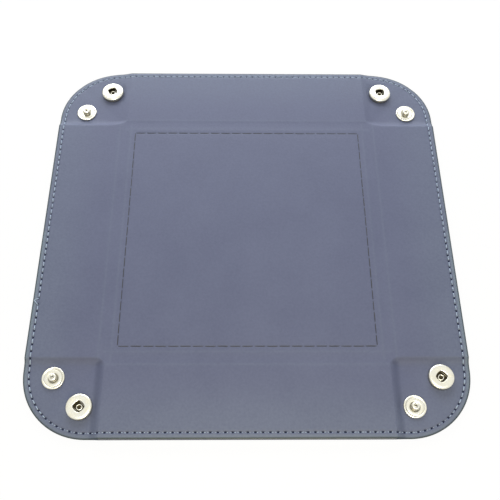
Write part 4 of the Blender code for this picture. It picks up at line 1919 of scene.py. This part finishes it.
@dataclass
class Snap:
    """One corner's fastener: a socket on one half leaf and a stud on the other."""

    corner: str
    finishes: Finishes
    socket_leaf: str
    stud_leaf: str
    turn: float
    mouth_square: float = 0.45
    mouth_low: float = 1.55 * MM
    mouth_far: float = 4.2 * MM
    mouth_run: float = 1.6 * MM
    mouth_corner: float = 1.28
    wire_radius: float = 0.22 * MM
    bend_radius: float = 4.6 * MM
    leg_reach: float = 1.95 * MM
    hook: float = math.radians(50)
    hook_spans: int = 8
    sharp: float = 38

    def build(self) -> None:
        """Builds both halves."""
        self.socket()
        self.spring()
        self.cap()
        self.stud()
        self.eyelet()

    def land(self, obj: bpy.types.Object, node: str, body: str, slot: str, place: Matrix) -> None:
        """Puts a piece where its CAD node is, and lets it stand for the node.

        Args:
            obj: The piece.
            node: The node.
            body: The body that it rides on.
            slot: The name of its finish.
            place: Where it goes.
        """
        settle(obj, place)
        finish_piece(obj, self.sharp, getattr(self.finishes, slot))
        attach(obj, body)
        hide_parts(node)

    def foot(self, node: str, turn: float = 0.0, top: bool = False) -> Matrix:
        """Finds a place on a node's axis.

        Args:
            node: The node.
            turn: How far a piece there is turned about Z.
            top: Whether it is the highest point, not the lowest.

        Returns:
            The place.
        """
        low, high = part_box(node)
        centre = (low + high) / 2
        height = high.z if top else low.z
        return Matrix.Translation((centre.x, centre.y, height)) @ Matrix.Rotation(turn, 4, "Z")

    def socket(self) -> None:
        """Builds the socket's pressed ring with its squarish mouth."""
        # The third number of a ring is its painted shade and painted dark reflection.
        rings = [
            (5.62, 0.0, 0.9), (5.84, 0.08, 0.8), (5.9, 0.24, 0.7), (5.9, 0.8, 0.5),
            (5.9, 1.3, 0.35), (5.88, 1.62, 0.15), (5.78, 1.9), (5.6, 2.12), (5.32, 2.28),
            (4.95, 2.37), (4.5, 2.4), (4.0, 2.39), (3.4, 2.36), (2.9, 2.34), (2.6, 2.33),
            (2.45, 2.28, 0.1), (2.36, 2.18, 0.5), (2.32, 2.05, 0.85), (2.32, 1.8, 1.0),
            (2.42, 1.68, 1.0), (5.2, 1.6, 1.0), (5.3, 1.5, 1.0), (5.3, 0.4, 1.0),
            (5.2, 0.35, 1.0), (1.78, 0.35, 1.0), (1.75, 0.3, 1.0), (1.75, 0.0, 1.0),
            (5.62, 0.0, 0.9),
        ]
        ring = Turning(self.corner + "_socket_ring", rings).obj
        for vertex in ring.data.vertices:
            x, y, z = vertex.co
            reach = math.hypot(x, y)
            if z < self.mouth_low or reach > self.mouth_far:
                continue
            angle = math.atan2(y, x)
            square = 1 / max(abs(math.cos(angle)), abs(math.sin(angle)))
            share = smooth((self.mouth_far - reach) / self.mouth_run) * self.mouth_square
            widening = 1 + (min(square, self.mouth_corner) - 1) * share
            vertex.co.x, vertex.co.y = x * widening, y * widening
        node = self.corner + "_socket"
        self.land(ring, node, self.socket_leaf, "nickel", self.foot(node, self.turn))

    def spring(self) -> None:
        """Builds the bent wire whose legs show at two sides of the mouth."""
        radius, top = self.bend_radius, math.acos(self.leg_reach / self.bend_radius)
        arcs = (
            (top - self.hook, self.hook),
            (-top, -(math.pi - 2 * top)),
            (math.pi - top, self.hook),
        )
        steps = range(self.hook_spans + 1)
        angles = [start + turn * i / self.hook_spans for start, turn in arcs for i in steps]
        points = [(radius * math.cos(angle), radius * math.sin(angle), 0) for angle in angles]
        obj = wire(self.corner + "_spring_wire", points, self.wire_radius, rounds=3)
        node = self.corner + "_socket_spring"
        low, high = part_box(node)
        seat = self.foot(self.corner + "_socket", self.turn)
        rise = Matrix.Translation((0, 0, (low.z + high.z) / 2 - seat.translation.z))
        self.land(obj, node, self.socket_leaf, "spring", rise @ seat)

    def cap(self) -> None:
        """Builds the cap under the leaf, with its post rolled over inside the socket."""
        node = self.corner + "_socket_cap"
        low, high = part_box(node)
        deep = -(high.z - low.z) / MM
        # The third number of a ring is its painted shade and painted dark reflection.
        rings = [
            (0.0, -0.78, 1.0), (0.75, -0.76, 1.0), (0.85, -0.7, 1.0), (0.85, -0.45, 1.0),
            (0.88, -0.22, 0.8), (0.98, -0.07, 0.25), (1.14, 0.0),
            (1.32, -0.03), (1.5, -0.12, 0.1), (1.66, -0.26, 0.35), (1.7, -0.4, 0.8),
            (1.62, -0.5, 1.0), (1.48, -0.52, 1.0), (1.45, -0.6, 1.0), (1.45, deep + 0.5, 1.0),
            (5.45, deep + 0.5, 1.0), (5.56, deep + 0.44, 0.6), (5.6, deep + 0.36, 0.3),
            (5.56, deep + 0.28), (5.3, deep + 0.2), (4.6, deep + 0.12), (3.4, deep + 0.05),
            (1.8, deep + 0.01), (0.0, deep),
        ]
        cap = Turning(self.corner + "_domed_cap", rings).obj
        self.land(cap, node, self.socket_leaf, "nickel", self.foot(node, top=True))

    def stud(self) -> None:
        """Builds the stud's stepped flange, waisted neck and domed knob."""
        # The third number of a ring is its painted shade and painted dark reflection.
        rings = [
            (5.05, 0.0, 0.9), (5.17, 0.06, 0.8), (5.2, 0.16, 0.6), (5.2, 0.3, 0.3),
            (5.14, 0.46), (4.98, 0.57), (4.76, 0.6), (4.54, 0.57), (4.36, 0.49, 0.05),
            (4.22, 0.39, 0.3), (4.08, 0.34, 0.42), (3.94, 0.36, 0.2), (3.78, 0.42), (3.5, 0.46),
            (3.1, 0.47), (2.7, 0.46), (2.42, 0.42, 0.1), (2.24, 0.34, 0.35), (2.1, 0.26, 0.6),
            (1.9, 0.22, 0.72), (1.66, 0.26, 0.7), (1.5, 0.4, 0.55), (1.44, 0.62, 0.55),
            (1.42, 0.95, 0.7), (1.44, 1.25, 0.85), (1.54, 1.46, 0.85), (1.7, 1.64, 0.65),
            (1.79, 1.82, 0.45), (1.8, 1.98, 0.25), (1.72, 2.16, 0.12), (1.56, 2.3), (1.3, 2.38),
            (1.05, 2.4), (0.9, 2.36), (0.84, 2.24, 0.3), (0.84, 1.9, 0.8), (1.0, 0.0, 1.0),
            (5.05, 0.0, 0.9),
        ]
        node = self.corner + "_stud"
        stud = Turning(self.corner + "_stud_knob", rings).obj
        self.land(stud, node, self.stud_leaf, "nickel", self.foot(node))

    def eyelet(self) -> None:
        """Builds the eyelet under the leaf, with its post inside the knob."""
        node = self.corner + "_stud_eyelet"
        low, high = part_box(node)
        deep = -(high.z - low.z) / MM
        # The third number of a ring is its painted shade and painted dark reflection.
        rings = [
            (0.0, -1.0, 0.9), (0.32, -0.99, 0.9), (0.4, -0.92, 0.9), (0.4, -0.12, 0.7),
            (0.46, -0.03, 0.3), (0.55, 0.0), (0.66, -0.04), (0.72, -0.14, 0.4), (0.7, -0.3, 1.0),
            (0.7, deep + 0.45, 1.0), (4.25, deep + 0.45, 1.0), (4.36, deep + 0.4, 0.6),
            (4.4, deep + 0.32, 0.2), (4.34, deep + 0.24), (4.0, deep + 0.16),
            (3.2, deep + 0.08), (2.0, deep + 0.02), (0.0, deep),
        ]
        eyelet = Turning(self.corner + "_domed_eyelet", rings, 40).obj
        self.land(eyelet, node, self.stud_leaf, "nickel", self.foot(node, top=True))


# Stage


@dataclass
class Stage:
    """Floor, light and camera as in a plain pale studio."""

    target: tuple = (1.367 * MM, -10.547 * MM, 3.6 * MM)
    distance: float = 335.091 * MM
    elevation: float = math.radians(63.426)
    bearing: float = math.radians(-1.785)
    roll: float = math.radians(1.662)
    lens: float = 48.52
    sensor: float = 36.0
    clip: Span = (0.01, 20.0)
    room_light: float = 0.27
    floor_half: float = 3.0
    floor_white: float = 0.95
    floor_glow: float = 0.93
    floor_gap: float = 0.02 * MM
    lamps: tuple = (
        ("back_softbox", (-0.04, 0.51, 0.24), (0.7, 0.3), 3.46, (0.91, 0.95, 1.0)),
        ("top_softbox", (0.06, -0.31, 0.9), (0.25, 0.25), 3.92, (1.0, 0.99, 0.87)),
        ("front_softbox", (0.0, -0.25, 0.15), (0.12, 0.12), 0.2, (1.0, 0.84, 0.48)),
    )

    def build(self) -> None:
        """Sets the stage."""
        self.camera()
        self.world()
        self.floor()
        for lamp in self.lamps:
            self.lamp(*lamp)

    def camera(self) -> None:
        """Adds the camera at the photograph's place."""
        level, height = math.cos(self.elevation), math.sin(self.elevation)
        back = Vector((math.sin(self.bearing) * level, -math.cos(self.bearing) * level, height))
        ahead = -back
        side = ahead.cross(Vector((0, 0, 1))).normalized()
        up = side.cross(ahead)
        cosine, sine = math.cos(self.roll), math.sin(self.roll)
        side, up = side * cosine + up * sine, up * cosine - side * sine
        data = bpy.data.cameras.new("photo_camera")
        data.lens, data.sensor_width = self.lens, self.sensor
        data.clip_start, data.clip_end = self.clip
        camera = bpy.data.objects.new("photo_camera", data)
        turn = Matrix((side, up, back)).transposed().to_4x4()
        camera.matrix_world = Matrix.Translation(Vector(self.target) + back * self.distance) @ turn
        bpy.context.scene.collection.objects.link(camera)
        bpy.context.scene.camera = camera

    def world(self) -> None:
        """Fills the room with even pale light, white where it is seen or mirrored."""
        world = bpy.data.worlds.new("studio")
        bpy.context.scene.world = world
        world.use_nodes = True
        tree = world.node_tree
        background = tree.nodes["Background"]
        rays = tree.nodes.new("ShaderNodeLightPath")
        seen = Sum(tree, rays.outputs["Is Camera Ray"]).math("MAXIMUM", rays.outputs["Is Glossy Ray"])
        strength = seen * (1 - self.room_light) + self.room_light
        background.inputs["Color"].default_value = (1, 1, 1, 1)
        tree.links.new(strength.value, background.inputs["Strength"])

    def floor(self) -> None:
        """Lays a pale floor that keeps the tray's soft shadow and is clear from below."""
        deselect()
        bpy.ops.mesh.primitive_plane_add(size=2 * self.floor_half, location=(0, 0, -self.floor_gap))
        floor = bpy.context.object
        floor.name = "studio_floor"
        shader = Shader("pale_floor", Roughness=0.9, Specular_IOR_Level=0.0)
        shader.feed(shader.principled.inputs["Base Color"], (self.floor_white,) * 3)
        rays = shader.node("LightPath")
        seen = shader.number(rays.outputs["Is Camera Ray"])
        seen = seen.math("MAXIMUM", rays.outputs["Is Glossy Ray"])
        seen = seen.math("MAXIMUM", rays.outputs["Is Transmission Ray"])
        glow = shader.node("Emission", Color=(1.0, 1.0, 1.0), Strength=1.0)
        lit = self.blend(shader, seen * self.floor_glow, shader.principled, glow)
        below = shader.node("NewGeometry").outputs["Backfacing"]
        clear = self.blend(shader, below, lit, shader.node("BsdfTransparent"))
        output = shader.tree.nodes["Material Output"]
        shader.feed(output.inputs["Surface"], clear.outputs[0])
        paint(floor, shader.material)

    @staticmethod
    def blend(shader: Shader, factor: object, *ends: bpy.types.Node) -> bpy.types.Node:
        """Blends two shader nodes.

        Args:
            shader: The material that they are in.
            factor: How much of the second shows.
            ends: The two nodes.

        Returns:
            The node that blends them.
        """
        node = shader.tree.nodes.new("ShaderNodeMixShader")
        for socket, value in zip(node.inputs, (factor, *(end.outputs[0] for end in ends))):
            shader.feed(socket, value)
        return node

    @staticmethod
    def lamp(name: str, place: tuple, size: tuple, power: float, colour: tuple) -> None:
        """Adds a softbox that faces the tray.

        Args:
            name: The lamp's name.
            place: Where it stands.
            size: Its width and height in metres.
            power: Its power in watts.
            colour: Its colour.
        """
        data = bpy.data.lights.new(name, "AREA")
        data.shape, data.energy, data.color = "RECTANGLE", power, colour
        data.size, data.size_y = size
        lamp = bpy.data.objects.new(name, data)
        lamp.location = place
        lamp.rotation_mode = "QUATERNION"
        lamp.rotation_quaternion = (-Vector(place)).to_track_quat("-Z", "Y")
        bpy.context.scene.collection.objects.link(lamp)


# The tray


@dataclass
class Tray:
    """The whole tray round its frame."""

    frame: dict
    socket_turns: dict[str, float] = field(
        default_factory=lambda: {
            "back_right": math.radians(100),
            "back_left": math.radians(-60),
            "front_left": math.radians(-45),
            "front_right": math.radians(45),
        }
    )

    def build(self) -> None:
        """Builds every piece in order."""
        finishes = Finishes()
        plan = Plan.of_frame(self.frame)
        reliefs = Faces.of_plan(plan)
        for layer in Layer:
            Sheet(plan, reliefs, layer, finishes).build()
        Stitching(plan, reliefs, finishes).build()
        for wall in Wall:
            Corner(plan, wall, finishes).build()
            Snap(wall.corner, finishes, *self.leaves(wall)).build()
        for name, node in self.frame["nodes"].items():
            if name.endswith("_board"):
                paint(node, finishes.board)
                LOG.info("%s: kept, as greyboard", name)

    def leaves(self, wall: Wall) -> tuple[str, str, float]:
        """Finds the leaves of a corner's socket and stud.

        Args:
            wall: The wall at the corner's clockwise side.

        Returns:
            The socket's leaf, the stud's leaf and the socket's turn.
        """
        bodies = self.frame["record"]["behaviour"]["bodies"]
        body_of = {node: body for body, nodes in bodies.items() for node in nodes}
        socket, stud = body_of[wall.corner + "_socket"], body_of[wall.corner + "_stud"]
        bearing = next(w for w in Wall if socket.startswith(w.body)).value * QUARTER
        return socket, stud, bearing + self.socket_turns[wall.corner]


def main() -> None:
    """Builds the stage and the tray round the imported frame."""
    logging.basicConfig(level=logging.INFO, format="%(name)s %(message)s")
    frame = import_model()
    bpy.context.scene.view_settings.view_transform = "Standard"
    Stage().build()
    Tray(frame).build()


if __name__ == "__main__":
    main()
